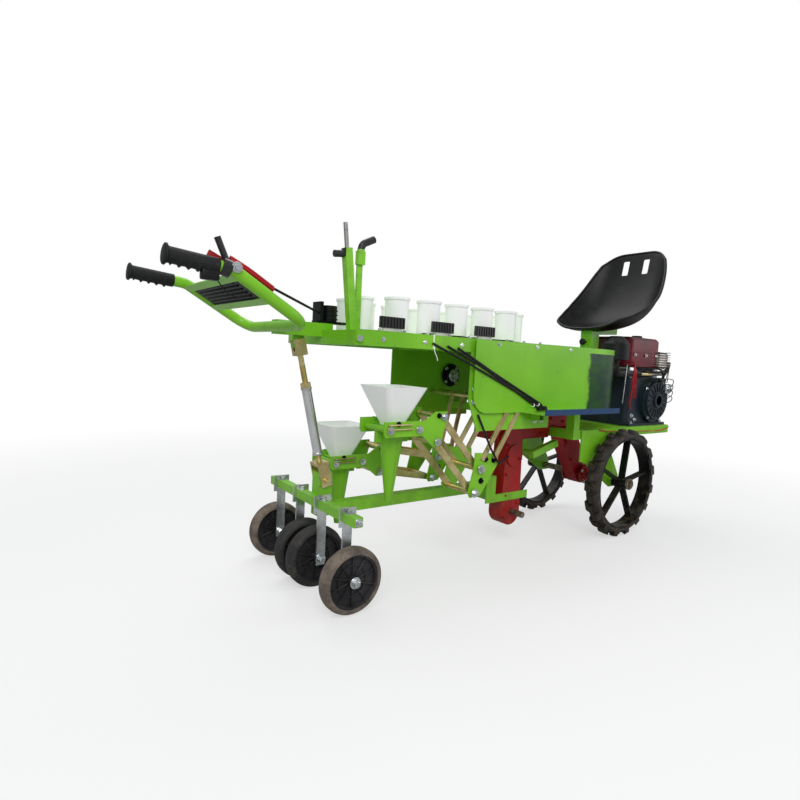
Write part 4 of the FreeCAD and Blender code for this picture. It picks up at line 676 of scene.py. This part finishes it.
pin_at = {joint["name"]: Vector(joint["pos_m"]) for joint in frame["joints"]}
plate_face, nut_face, pin_face = 0.073, 0.0812, 0.0772  # from a row's middle, out to each side
for row in ("near", "far"):
    upper, lower, level = (pin_at[f"{row}_{joint}"] for joint in ("upper_swing", "lift", "level"))
    top = level - (lower - upper)
    pins = [level, top, pin_at[f"{row}_jaw_open"], pin_at[f"{row}_front_jaw_open"]]
    for face, way, sign in (("out", NEAR, -1), ("in", FAR, 1)):
        bolts(f"{row}_knee_nuts_{face}", [(pin.x, upper.y + sign * nut_face, pin.z) for pin in (upper, lower)],
              way, 0.017)
        bolts(f"{row}_knee_bolts_{face}", [upper + Vector((dx, sign * plate_face, dz)) for dx, dz in
                                           ((0.028, 0.034), (0.070, 0.028), (0.010, -0.045))],
              way, 0.012, black_bolt)
        bolts(f"{row}_planter_nuts_{face}", [(pin.x, level.y + sign * pin_face, pin.z) for pin in pins],
              way, 0.014, body=f"{row}_planter")
        bolts(f"{row}_planter_bolts_{face}", [top + Vector((-dx, sign * plate_face, dz)) for dx, dz in
                                              ((0.022, 0.004), (0.190, -0.020))],
              way, 0.010, black_bolt, f"{row}_planter")

# ---------------------------------------------------------------- seat
# One bucket of blow-moulded black plastic: a wide dished pan that sweeps up into the back, a rolled bead
# all round its edge, two hand slots in the back and a drain slot in the pan.

SEAT_RIBS = (  # place along X and up, lean in degrees, half width and rim height of each section
    (0.000, 0.008, -14, 0.162, 0.036), (0.070, 0.000, 2, 0.204, 0.062), (0.170, 0.014, 14, 0.232, 0.092),
    (0.262, 0.048, 34, 0.241, 0.108), (0.334, 0.116, 56, 0.241, 0.108), (0.382, 0.210, 70, 0.227, 0.088),
    (0.416, 0.318, 76, 0.200, 0.058), (0.440, 0.436, 80, 0.152, 0.020))
seat_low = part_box("seat")[0]
seat_foot = Vector((seat_low.x, 0, seat_low.z))


def seat_point(along, aside):
    """A point of the bucket's upper face: 0 to 1 from lip to top, -1 to 1 from side to side."""
    along = min(max(along, 0.0), 1.0) * (len(SEAT_RIBS) - 1)
    index = min(int(along), len(SEAT_RIBS) - 2)
    t = along - index
    ribs = [SEAT_RIBS[min(max(index + step, 0), len(SEAT_RIBS) - 1)] for step in (-1, 0, 1, 2)]
    weights = (-t + 2 * t**2 - t**3, 2 - 5 * t**2 + 3 * t**3, t + 4 * t**2 - 3 * t**3, t**3 - t**2)
    x, z, lean, half, rise = (sum(w * rib[i] for w, rib in zip(weights, ribs)) / 2 for i in range(5))
    up = rise * (0.25 * aside**2 + 0.75 * aside**4) + 0.004
    lean = math.radians(lean)
    return seat_foot + Vector((x - up * math.sin(lean), half * aside * 0.985, z + up * math.cos(lean)))


lip_corner, top_corner = 0.045, 0.085  # how far the corners draw in along the bucket
pick()
bpy.ops.mesh.primitive_grid_add(x_subdivisions=24, y_subdivisions=40, size=2)
bucket = bpy.context.object
for vertex in bucket.data.vertices:
    aside, along = vertex.co.x, (vertex.co.y + 1) / 2
    corner = abs(aside) ** 5
    vertex.co = seat_point(lip_corner * corner + along * (1 - (lip_corner + top_corner) * corner), aside)
bpy.ops.object.mode_set(mode="EDIT")
bpy.ops.mesh.select_all(action="SELECT")
bpy.ops.mesh.normals_make_consistent(inside=False)
bpy.ops.mesh.select_all(action="DESELECT")
bpy.ops.mesh.select_non_manifold()
bpy.ops.mesh.duplicate()
bpy.ops.mesh.separate(type="SELECTED")
bpy.ops.object.mode_set(mode="OBJECT")
bead = [piece for piece in bpy.context.selected_objects if piece is not bucket][0]
wall = bucket.modifiers.new("wall", "SOLIDIFY")
wall.thickness, wall.offset = 0.005, 0
smooth = bucket.modifiers.new("smooth", "SUBSURF")
smooth.levels = smooth.render_levels = 1
pick(bucket)
bpy.ops.object.modifier_apply(modifier="wall")
bpy.ops.object.modifier_apply(modifier="smooth")


def soft_box(name, low, high, radius=0.003, segments=3):
    """A block with rounded edges between two corners."""
    low, high = Vector(low), Vector(high)
    pick()
    bpy.ops.mesh.primitive_cube_add(size=1, location=(low + high) / 2)
    piece = bpy.context.object
    piece.name = name
    piece.scale = high - low
    bpy.ops.object.transform_apply(location=True, scale=True)
    bpy.ops.object.mode_set(mode="EDIT")
    bpy.ops.mesh.select_all(action="SELECT")
    bpy.ops.mesh.bevel(offset=radius, segments=segments, profile=0.5, affect="EDGES")
    bpy.ops.object.mode_set(mode="OBJECT")
    return piece


hand_slots = [((0.33, y, 0.324), (0.50, y + 0.034, 0.400)) for y in (-0.073, 0.039)]
drain_slot = ((0.096, -0.007, -0.04), (0.182, 0.007, 0.08))
for low, high in (*hand_slots, drain_slot):
    tool = soft_box("slot_tool", seat_foot + Vector(low), seat_foot + Vector(high), 0.005)
    bite = bucket.modifiers.new("bite", "BOOLEAN")
    bite.operation, bite.object, bite.solver = "DIFFERENCE", tool, "EXACT"
    pick(bucket)
    bpy.ops.object.modifier_apply(modifier="bite")
    bpy.data.objects.remove(tool)
pick(bead)
bpy.ops.object.convert(target="CURVE")
bead = bpy.context.object
bead.data.bevel_depth, bead.data.bevel_resolution = 0.0065, 4
bpy.ops.object.convert(target="MESH")
seat_shell = joined("seat_bucket", [bucket, bpy.context.object])
seat_plastic = moulded("seat_plastic", screen(17, 18, 20), screen(11, 12, 13), 0.4, 600, 0.05, "black_plastic")
settle(seat_shell, seat_plastic, angle=60)
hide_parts("seat")
post_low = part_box("seat_post")[0]
knob_at = (post_low.x, 0, post_low.z + 0.045)
knob = turned("post_knob", [(0.0, 0.0), (0.0, 0.006), (0.014, 0.006), (0.016, 0.012), (0.022, 0.016),
                            (0.030, 0.016), (0.036, 0.011), (0.038, 0.0)], knob_at, REAR, 24)
settle(knob, black_plastic)

# ---------------------------------------------------------------- engine
# A small single-cylinder engine: ribbed starter cover with its pull handle, fuel cap, carburettor, silencer
# in a slotted guard, plug lead, governor arm, red fuel hose and a loom of thin wires.


def bent(name, points, radius, sides=3):
    """A smooth round bar, hose or wire through a few points."""
    line = bpy.data.curves.new(name, "CURVE")
    line.dimensions, line.resolution_u = "3D", 8
    line.bevel_depth, line.bevel_resolution, line.use_fill_caps = radius, sides, True
    run = line.splines.new("NURBS")
    run.points.add(len(points) - 1)
    for point, place in zip(run.points, points):
        point.co = (*place, 1)
    run.order_u, run.use_endpoint_u = 3, True
    piece = bpy.data.objects.new(name, line)
    bpy.context.scene.collection.objects.link(piece)
    pick(piece)
    bpy.ops.object.convert(target="MESH")
    return bpy.context.object


cover_low, cover_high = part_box("flywheel_cover")
wheel_axis = Vector(((cover_low.x + cover_high.x) / 2, 0, (cover_low.z + cover_high.z) / 2))
vane_at = wheel_axis + Vector((0, cover_low.y + 0.008, 0))
vane = soft_box("vane", vane_at + Vector((0.046, -0.0035, -0.0035)), vane_at + Vector((0.088, 0.001, 0.0035)),
                0.0012, 2)
vanes = [copy_of(vane, turn) for turn in round_about(18, wheel_axis)]
bpy.data.objects.remove(vane)
vanes.append(turned("cup", [(-0.002, 0.0), (-0.002, 0.024), (0.006, 0.026), (0.006, 0.034), (0.001, 0.036)],
                    wheel_axis + Vector((0, cover_low.y + 0.002, 0)), FAR, 40))
settle(joined("starter_vanes", vanes), black_steel)
bolts("starter_bolts", ring_of_spots(wheel_axis, cover_low.y + 0.022, 0.104, 4, 0.6), NEAR, 0.009)
settle(soft_box("pull_handle", (wheel_axis.x - 0.030, cover_low.y - 0.014, cover_high.z - 0.016),
                (wheel_axis.x + 0.030, cover_low.y + 0.002, cover_high.z + 0.002), 0.006, 4), black_plastic)

tank_low, tank_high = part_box("fuel_tank")
settle(turned("fuel_cap", [(0.0, 0.022), (0.003, 0.026), (0.014, 0.026), (0.017, 0.023), (0.018, 0.0)],
              (tank_high.x - 0.07, tank_low.y + 0.10, tank_high.z - 0.001), UP, 28), black_plastic)
settle(soft_box("tank_seam", (tank_low.x - 0.003, tank_low.y - 0.003, tank_low.z + 0.070),
                (tank_high.x + 0.003, tank_high.y + 0.003, tank_low.z + 0.074), 0.0018, 2), maroon)
block_low, block_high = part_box("engine_block")
bolts("tank_bolts", [tank_low + Vector((0.05 + 0.10 * i, -0.003, 0.058)) for i in range(3)], NEAR, 0.009)
bolts("crankcase_bolts", [(block_low.x + dx, cover_high.y - 0.0002, block_low.z + dz) for dx, dz in
                          ((0.045, 0.05), (0.045, 0.20), (0.075, 0.03), (0.30, 0.03), (0.31, 0.215))],
      NEAR, 0.011)
bolts("engine_foot_bolts", [(block_low.x + dx, sign * 0.168, block_low.z + 0.012)
                            for dx in (0.03, 0.305) for sign in (-1, 1)], UP, 0.014)
settle(soft_box("rocker_cover", (block_high.x - 0.012, -0.105, tank_low.z - 0.075),
                (block_high.x + 0.034, 0.065, tank_low.z + 0.012), 0.010, 4), bright_zinc)
guard_low = Vector((block_high.x - 0.075, -0.165, tank_low.z - 0.006))
guard_high = Vector((block_high.x + 0.036, -0.100, tank_low.z + 0.085))
silencer = soft_box("silencer", guard_low + Vector((0.006, 0.006, 0.004)),
                    guard_high - Vector((0.006, 0.006, 0.006)), 0.014, 4)
bar_step, bar_height = 0.012, 0.004
bars = [soft_box("bar", (guard_low.x, guard_low.y, guard_low.z + bar_step * i),
                 (guard_high.x, guard_high.y, guard_low.z + bar_step * i + bar_height), 0.0015, 2)
        for i in range(8)]
settle(joined("silencer_guard", bars), bright_zinc)
settle(silencer, bare_steel)
corner = Vector((block_high.x, 0, tank_low.z))
elbow = [corner + Vector(step) for step in (
    (-0.03, -0.08, -0.03), (0.02, -0.12, -0.03), (0.045, -0.15, -0.02), (0.05, -0.15, 0.03))]
settle(bent("exhaust_elbow", elbow, 0.011, 4), bare_steel)
settle(joined("carburettor", [
    soft_box("carburettor_body", (0.905, -0.165, 0.738), (0.962, -0.105, 0.790), 0.005),
    turned("bowl", [(0.0, 0.0), (0.0, 0.016), (0.004, 0.019), (0.024, 0.019), (0.026, 0.0)],
           (0.934, -0.136, 0.714), UP, 24)]), bright_zinc)
settle(soft_box("governor_arm", (0.962, -0.196, 0.752), (1.060, -0.192, 0.764), 0.0015), yellow_zinc)
coil = [(1.064 + 0.010 * index / 8, -0.194 + 0.004 * math.cos(index * math.pi / 4),
         0.758 + 0.004 * math.sin(index * math.pi / 4)) for index in range(72)]
settle(bent("governor_spring", coil, 0.0008, 1), bright_zinc)
red_plastic = moulded("red_plastic", screen(190, 26, 34), screen(150, 18, 28), 0.35, 500, 0.05, "red_paint")
settle(turned("oil_cap", [(0.0, 0.0), (0.0, 0.013), (0.006, 0.015), (0.014, 0.015), (0.016, 0.010),
                          (0.017, 0.0)],
              (block_low.x + 0.300, cover_high.y, block_low.z + 0.165), NEAR, 16), red_plastic)
for name, radius, finish, points in (
        ("fuel_hose", 0.0042, red_plastic, [
            (0.905, -0.15, 0.815), (0.875, -0.20, 0.818), (0.842, -0.226, 0.79), (0.835, -0.226, 0.73),
            (0.850, -0.214, 0.66), (0.885, -0.185, 0.600), (0.93, -0.170, 0.585)]),
        ("throttle_rod", 0.0022, bright_zinc, [
            (0.775, -0.226, 0.80), (0.765, -0.228, 0.70), (0.760, -0.226, 0.62)]),
        ("plug_lead", 0.0036, black_rubber, [
            (1.19, -0.165, 0.70), (1.17, -0.20, 0.765), (1.10, -0.205, 0.79), (1.02, -0.19, 0.785),
            (0.985, -0.135, 0.775)])):
    settle(bent(name, points, radius), finish)


def strands(name, finish, runs, radius, sides=2, body="frame"):
    """Several wires or rods as one piece."""
    settle(joined(name, [bent("strand", run, radius, sides) for run in runs]), finish, body)


strands("wire_loom", black_rubber, [
    [(0.99 + 0.02 * i, -0.19, 0.770 - 0.012 * i), (1.06 + 0.03 * i, -0.212, 0.80 - 0.020 * i),
     (1.16, -0.205 - 0.004 * i, 0.775 - 0.012 * i), (1.225 + 0.008 * i, -0.18, 0.80 + 0.012 * i),
     (1.262, -0.16 + 0.01 * i, 0.76 - 0.02 * i)] for i in range(5)], 0.0019)
settle(turned("plug_cap", [(0.0, 0.0), (0.0, 0.010), (0.018, 0.011), (0.024, 0.008), (0.036, 0.008),
                           (0.038, 0.0)], (1.205, -0.150, 0.705), (0.4, -1, 0.35), 20), black_rubber)
settle(joined("switch_box", [
    soft_box("switch_box", (1.185, -0.207, 0.665), (1.232, -0.170, 0.712), 0.004),
    turned("key", [(0.0, 0.0), (0.0, 0.010), (0.006, 0.010), (0.008, 0.006), (0.014, 0.006), (0.015, 0.0)],
           (1.208, -0.207, 0.688), NEAR, 16)]), bright_zinc)

# ---------------------------------------------------------------- case bolts, flanges, collars and threads
# Bolts follow the rims of the red cases. The axle runs in flanged bearings and carries a collar outside
# each wheel, the hangers are clamped to their bar, and the length screw shows its thread.


def face_spots(name, spots, way, least=0.98):
    """The points of a node's surface straight behind the given ones, where it looks the given way."""
    piece, way = nodes[name], Vector(way)
    inward = piece.matrix_world.inverted()
    found = []
    for spot in spots:
        hit, where, normal, _ = piece.ray_cast(inward @ (Vector(spot) + way), inward.to_3x3() @ -way)
        if hit and (piece.matrix_world.to_3x3() @ normal).normalized().dot(way) > least:
            found.append(piece.matrix_world @ where)
    return found


def rim_spots(name, way):
    """Places for bolts along the rim of the flat side that a node shows along Y."""
    inset, gap, step = 0.012, 0.088, 0.004
    low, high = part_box(name)
    y = high.y if way[1] > 0 else low.y
    around = [Vector((math.cos(index * math.pi / 4), 0, math.sin(index * math.pi / 4))) for index in range(8)]

    def lands(spot, reach):
        found = face_spots(name, [spot + out * reach for out in around], way)
        return len(found) == 8 and max(point.y for point in found) - min(point.y for point in found) < 0.0005

    kept = []
    for across in range(int((high.x - low.x) / step)):
        for up in range(int((high.z - low.z) / step)):
            spot = Vector((low.x + step * across, y, low.z + step * up))
            if (all((spot - other).length > gap for other in kept) and lands(spot, inset)
                    and not lands(spot, inset + 1.3 * step)):
                kept.append(spot)
    return face_spots(name, kept, way)


for name, side, way in (("planting_case", "near", NEAR), ("drive_case", "near", NEAR),
                        ("drive_case", "far", FAR), ("gearbox", "near", NEAR), ("gearbox", "far", FAR)):
    places = rim_spots(name, way)
    if places:
        bolts(f"{name}_bolts_{side}", places, way, 0.010, red)

axle_low, axle_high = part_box("drive_axle")
axle = Vector(((axle_low.x + axle_high.x) / 2, 0, (axle_low.z + axle_high.z) / 2))
case_y, hub_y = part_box("drive_case")[1].y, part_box("far_drive_wheel")[1].y
for side, sign, way in (("near", -1, NEAR), ("far", 1, FAR)):
    flange = turned(f"{side}_axle_flange", [(-0.001, 0.0158), (-0.001, 0.046), (0.007, 0.047), (0.009, 0.045),
                                            (0.010, 0.029), (0.022, 0.026), (0.024, 0.024), (0.024, 0.0158)],
                    (axle.x, sign * case_y, axle.z), way, 40)
    settle(flange, red)
    bolts(f"{side}_flange_bolts", ring_of_spots(axle, sign * (case_y + 0.0095), 0.037, 4, 0.5), way, 0.010)
    collar = turned(f"{side}_hub_collar", [(0.0005, 0.0152), (0.0005, 0.024), (0.002, 0.026), (0.012, 0.026),
                                           (0.014, 0.024), (0.014, 0.0152)],
                    (axle.x, sign * hub_y, axle.z), way, 32)
    settle(collar, bare_steel, f"{side}_drive")

bar_low, bar_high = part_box("press_bar")
hanger_x = (bar_low.x + bar_high.x) / 2
pin_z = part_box("far_outer_press_disc")[0].z + 0.084
clamps, wheel_nuts = [], {NEAR: [], FAR: []}
for wheel_y in (-0.275, -0.045, 0.045, 0.275):
    for side, way, back in ((-1, NEAR, FAR), (1, FAR, NEAR)):
        strap_y = wheel_y + side * 0.034
        if face_spots("press_hangers", [(hanger_x + 0.020, strap_y, bar_high.z)], UP):
            clamps += [(hanger_x, strap_y + 0.013, bar_high.z), (hanger_x, strap_y - 0.013, bar_high.z)]
            wheel_nuts[way].append((hanger_x, strap_y + side * 0.003, pin_z))
            wheel_nuts[back].append((hanger_x, wheel_y - side * 0.0256, pin_z))
bolts("clamp_nuts", clamps, UP, 0.014)
for way, word in ((NEAR, "near"), (FAR, "far")):
    bolts(f"stub_pin_nuts_{word}", wheel_nuts[way], way, 0.019)
    bolts(f"bar_end_bolt_{word}", [(hanger_x, way[1] * bar_high.y, (bar_low.z + bar_high.z) / 2)], way, 0.014)

tube_low, tube_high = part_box("link_tube")
lean, tube_radius, tube_length = math.radians(13.25), 0.016, 0.2319
pitch, root, crown = 0.0022, 0.0085, 0.0101
foot = Vector((tube_high.x - tube_radius * math.cos(lean), 0, tube_low.z + tube_radius * math.sin(lean)))
along = Vector((-math.sin(lean), 0, math.cos(lean)))
for name, start, count in (("upper_thread", tube_length + 0.019, 26), ("lower_thread", -0.034, 14)):
    thread = [(0.0, root)]
    for turn in range(count):
        thread += [(pitch * turn + 0.0003, root + 0.0005), (pitch * turn + 0.0014, crown)]
    thread.append((pitch * count, root))
    settle(turned(name, thread, foot + along * start, along, 20), yellow_zinc)
welds = [turned("weld", [(-0.001, 0.0155), (0.0, 0.0182), (0.004, 0.0186), (0.008, 0.0164)],
                foot + along * start, along * way, 24) for start, way in ((0.0, 1), (tube_length, -1))]
settle(joined("tube_collars", welds), bright_zinc)

# ---------------------------------------------------------------- hub, ties, grommets, perch and tray ribs
# A bearing hub sits in the far wall of the hood, white ties hold the cables and rubber grommets take
# their ends. A moulded perch holds a lever's wire, and pressed ribs stiffen the tray at the handlebar.

hub_at = (0.092, 0.2302, 0.711)
settle(turned("hub_flange", [(-0.001, 0.0), (-0.001, 0.050), (0.004, 0.052), (0.006, 0.050), (0.007, 0.034),
                             (0.020, 0.031), (0.022, 0.029), (0.022, 0.0)], hub_at, NEAR, 40), black_steel)
settle(turned("hub_ring", [(0.0215, 0.0), (0.0215, 0.027), (0.026, 0.028), (0.029, 0.026), (0.029, 0.017),
                           (0.024, 0.015), (0.024, 0.011), (0.038, 0.010), (0.039, 0.0)],
              hub_at, NEAR, 40), bright_zinc)
bolts("hub_bolts", ring_of_spots(hub_at, hub_at[1] - 0.0065, 0.042, 4, 0.8), NEAR, 0.009)

cable_y = -0.2555
slope = Vector((0.404, 0, -0.156)).normalized()
loops = [turned("loop", [(-0.0022, 0.0056), (-0.0022, 0.0072), (0.0022, 0.0072), (0.0022, 0.0056)],
                (x, cable_y, z), slope, 20) for x, z in ((0.122, 0.6250), (0.094, 0.6225))]
band_at = -0.405
loops += [soft_box("band", (band_at - 0.0022, -0.2362, 0.8160), (band_at + 0.0022, -0.1900, 0.8612), 0.0009, 2),
          soft_box("lock", (band_at - 0.0034, -0.2402, 0.8150), (band_at + 0.0034, -0.2340, 0.8215), 0.0010, 2),
          bent("tail", [(band_at, -0.2380, 0.8150), (band_at + 0.003, -0.2400, 0.800),
                        (band_at + 0.012, -0.2415, 0.790), (band_at + 0.016, -0.2400, 0.776)], 0.0013, 1)]
settle(joined("cable_ties", loops), white_plastic)
third = [(-0.300, -0.2405, 0.822), (-0.215, cable_y, 0.778), (-0.120, cable_y, 0.735), (0.120, cable_y, 0.634),
         (0.149, cable_y, 0.622), (0.150, cable_y, 0.604)]
settle(bent("third_cable", third, 0.0042), black_rubber)
collars = [turned("grommet", [(0.0, 0.0060), (0.0, 0.0112), (0.005, 0.0112), (0.007, 0.0086), (0.015, 0.0078),
                              (0.0155, 0.0058)], (x, cable_y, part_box("foot_boards")[0].z + 0.0372), UP, 24)
           for x in (0.166, 0.132)]
settle(joined("grommets", collars), black_rubber)

boss_at, boss_depth = Vector((-0.697, rail_low.y, 0.832)), 0.007
settle(turned("rail_boss", [(-0.001, 0.0), (-0.001, 0.012), (0.005, 0.013), (boss_depth, 0.011),
                            (boss_depth, 0.0)], boss_at, NEAR, 28), lime)
bolts("boss_bolt", [boss_at + boss_depth * Vector(NEAR)], NEAR, 0.010)
settle(soft_box("lever_perch", (-1.160, -0.236, 0.950), (-1.115, -0.210, 0.977), 0.005), black_plastic)
settle(bent("perch_wire", [(-1.118, -0.214, 0.958), (-1.090, -0.200, 0.925), (-1.050, -0.190, 0.915),
                           (-1.020, -0.195, 0.930)], 0.0016, 2), black_rubber)
tray_low, tray_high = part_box("handle_tray")
under = face_spots("handle_tray", [(tray_low.x + 0.014 + 0.0125 * index, 0, tray_low.z) for index in range(6)],
                   (0, 0, -1), 0.5)
ribs = [soft_box("rib", (spot.x - 0.0025, tray_low.y + 0.022, spot.z - 0.005),
                 (spot.x + 0.0025, tray_high.y - 0.022, spot.z + 0.002), 0.0015, 2) for spot in under]
settle(joined("tray_ribs", ribs), black_steel)

# ---------------------------------------------------------------- lever blade and guide rods
# A red blade runs along the near tube from its clamp, and thin plated rods run along the foot of each
# planter's plates.


def crest(name, x, y_low, y_high):
    """The highest point of a node across a strip at one X."""
    strip = [(x, y_low + (y_high - y_low) * index / 24, 1.2) for index in range(25)]
    return max(face_spots(name, strip, UP, 0.2), key=lambda point: point.z)


ridge = [crest("handlebar", x, -0.245, -0.150) for x in (-1.085, -1.040, -1.000, -0.965)]
strands("lever_blade", red, [[point + Vector((0, 0.004 + lift / 2, 0.008 + lift)) for point in ridge]
                             for lift in (0.0, 0.007)], 0.0052, 3)
clamp = crest("handlebar", -1.075, -0.245, -0.150)
bolts("lever_pivot", [(clamp.x, clamp.y - 0.0205, clamp.z - 0.010)], NEAR, 0.015)

for row in ("near", "far"):
    low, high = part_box(f"{row}_carrier")
    strands(f"{row}_guide_rods", yellow_zinc, [
        [(low.x + 0.010, y, low.z + up), (low.x + 0.105, y, low.z + up)]
        for y in (low.y - 0.0025, high.y + 0.0025) for up in (0.066, 0.080)], 0.0030, 3, f"{row}_planter")

# ---------------------------------------------------------------- cooling fins and wires
# Cast fins stand on the engine's far side and its free end, beside a bolted shaft cover. Red and black
# wires run over its near side and along the frame.

wall_y = face_spots("engine_block", [(block_low.x + 0.15, 0.3, block_low.z + 0.12)], FAR)[0].y
fins = []
for x_low, x_high, y_low, y_high, foot, count in (
        (block_low.x + 0.090, block_high.x - 0.040, wall_y - 0.002, wall_y + 0.014, 0.130, 7),
        (block_high.x - 0.002, block_high.x + 0.012, -0.090, 0.090, 0.090, 9)):
    for index in range(count):
        z = block_low.z + foot + 0.013 * index
        fins.append(soft_box("fin", (x_low, y_low, z), (x_high, y_high, z + 0.004), 0.0015, 2))
settle(joined("cooling_fins", fins), casting)
shaft_at = (block_low.x + 0.150, wall_y, block_low.z + 0.075)
settle(turned("shaft_cover", [(-0.001, 0.0), (-0.001, 0.052), (0.004, 0.054), (0.007, 0.050), (0.008, 0.024),
                              (0.018, 0.022), (0.019, 0.010), (0.034, 0.010), (0.035, 0.0)],
              shaft_at, FAR, 40), casting)
bolts("shaft_cover_bolts", ring_of_spots(shaft_at, wall_y + 0.0065, 0.043, 5, 0.3), FAR, 0.009)
bolts("far_crankcase_bolts", [(block_low.x + dx, wall_y, block_low.z + dz)
      for dx, dz in ((0.03, 0.03), (0.03, 0.20), (0.29, 0.03), (0.29, 0.10))], FAR, 0.011)
strands("red_wires", red_plastic, [
    [(0.905, -0.150 - 0.006 * i, 0.800), (0.872, -0.210, 0.806 - 0.008 * i), (0.848 + 0.006 * i, -0.226, 0.77),
     (0.858 + 0.010 * i, -0.218, 0.69), (0.900 + 0.012 * i, -0.196, 0.640)] for i in range(3)], 0.0022)
strands("end_leads", black_rubber, [
    [(1.16, -0.190, 0.735 - 0.03 * i), (1.215, -0.222, 0.745 - 0.028 * i), (1.262, -0.205, 0.715 - 0.030 * i),
     (1.270 - 0.01 * i, -0.165, 0.665 - 0.02 * i), (1.246, -0.150, 0.640 - 0.02 * i)]
    for i in range(4)], 0.0020)
strands("low_wires", red_plastic, [
    [(0.62, -0.2085, 0.500 - 0.004 * i), (0.80, -0.2125, 0.474 + 0.006 * i), (1.00, -0.2125, 0.482 - 0.004 * i),
     (1.18, -0.2125, 0.470 + 0.005 * i), (1.240, -0.2105, 0.492)] for i in range(2)], 0.0018)
bpy.data.objects.remove(pattern)
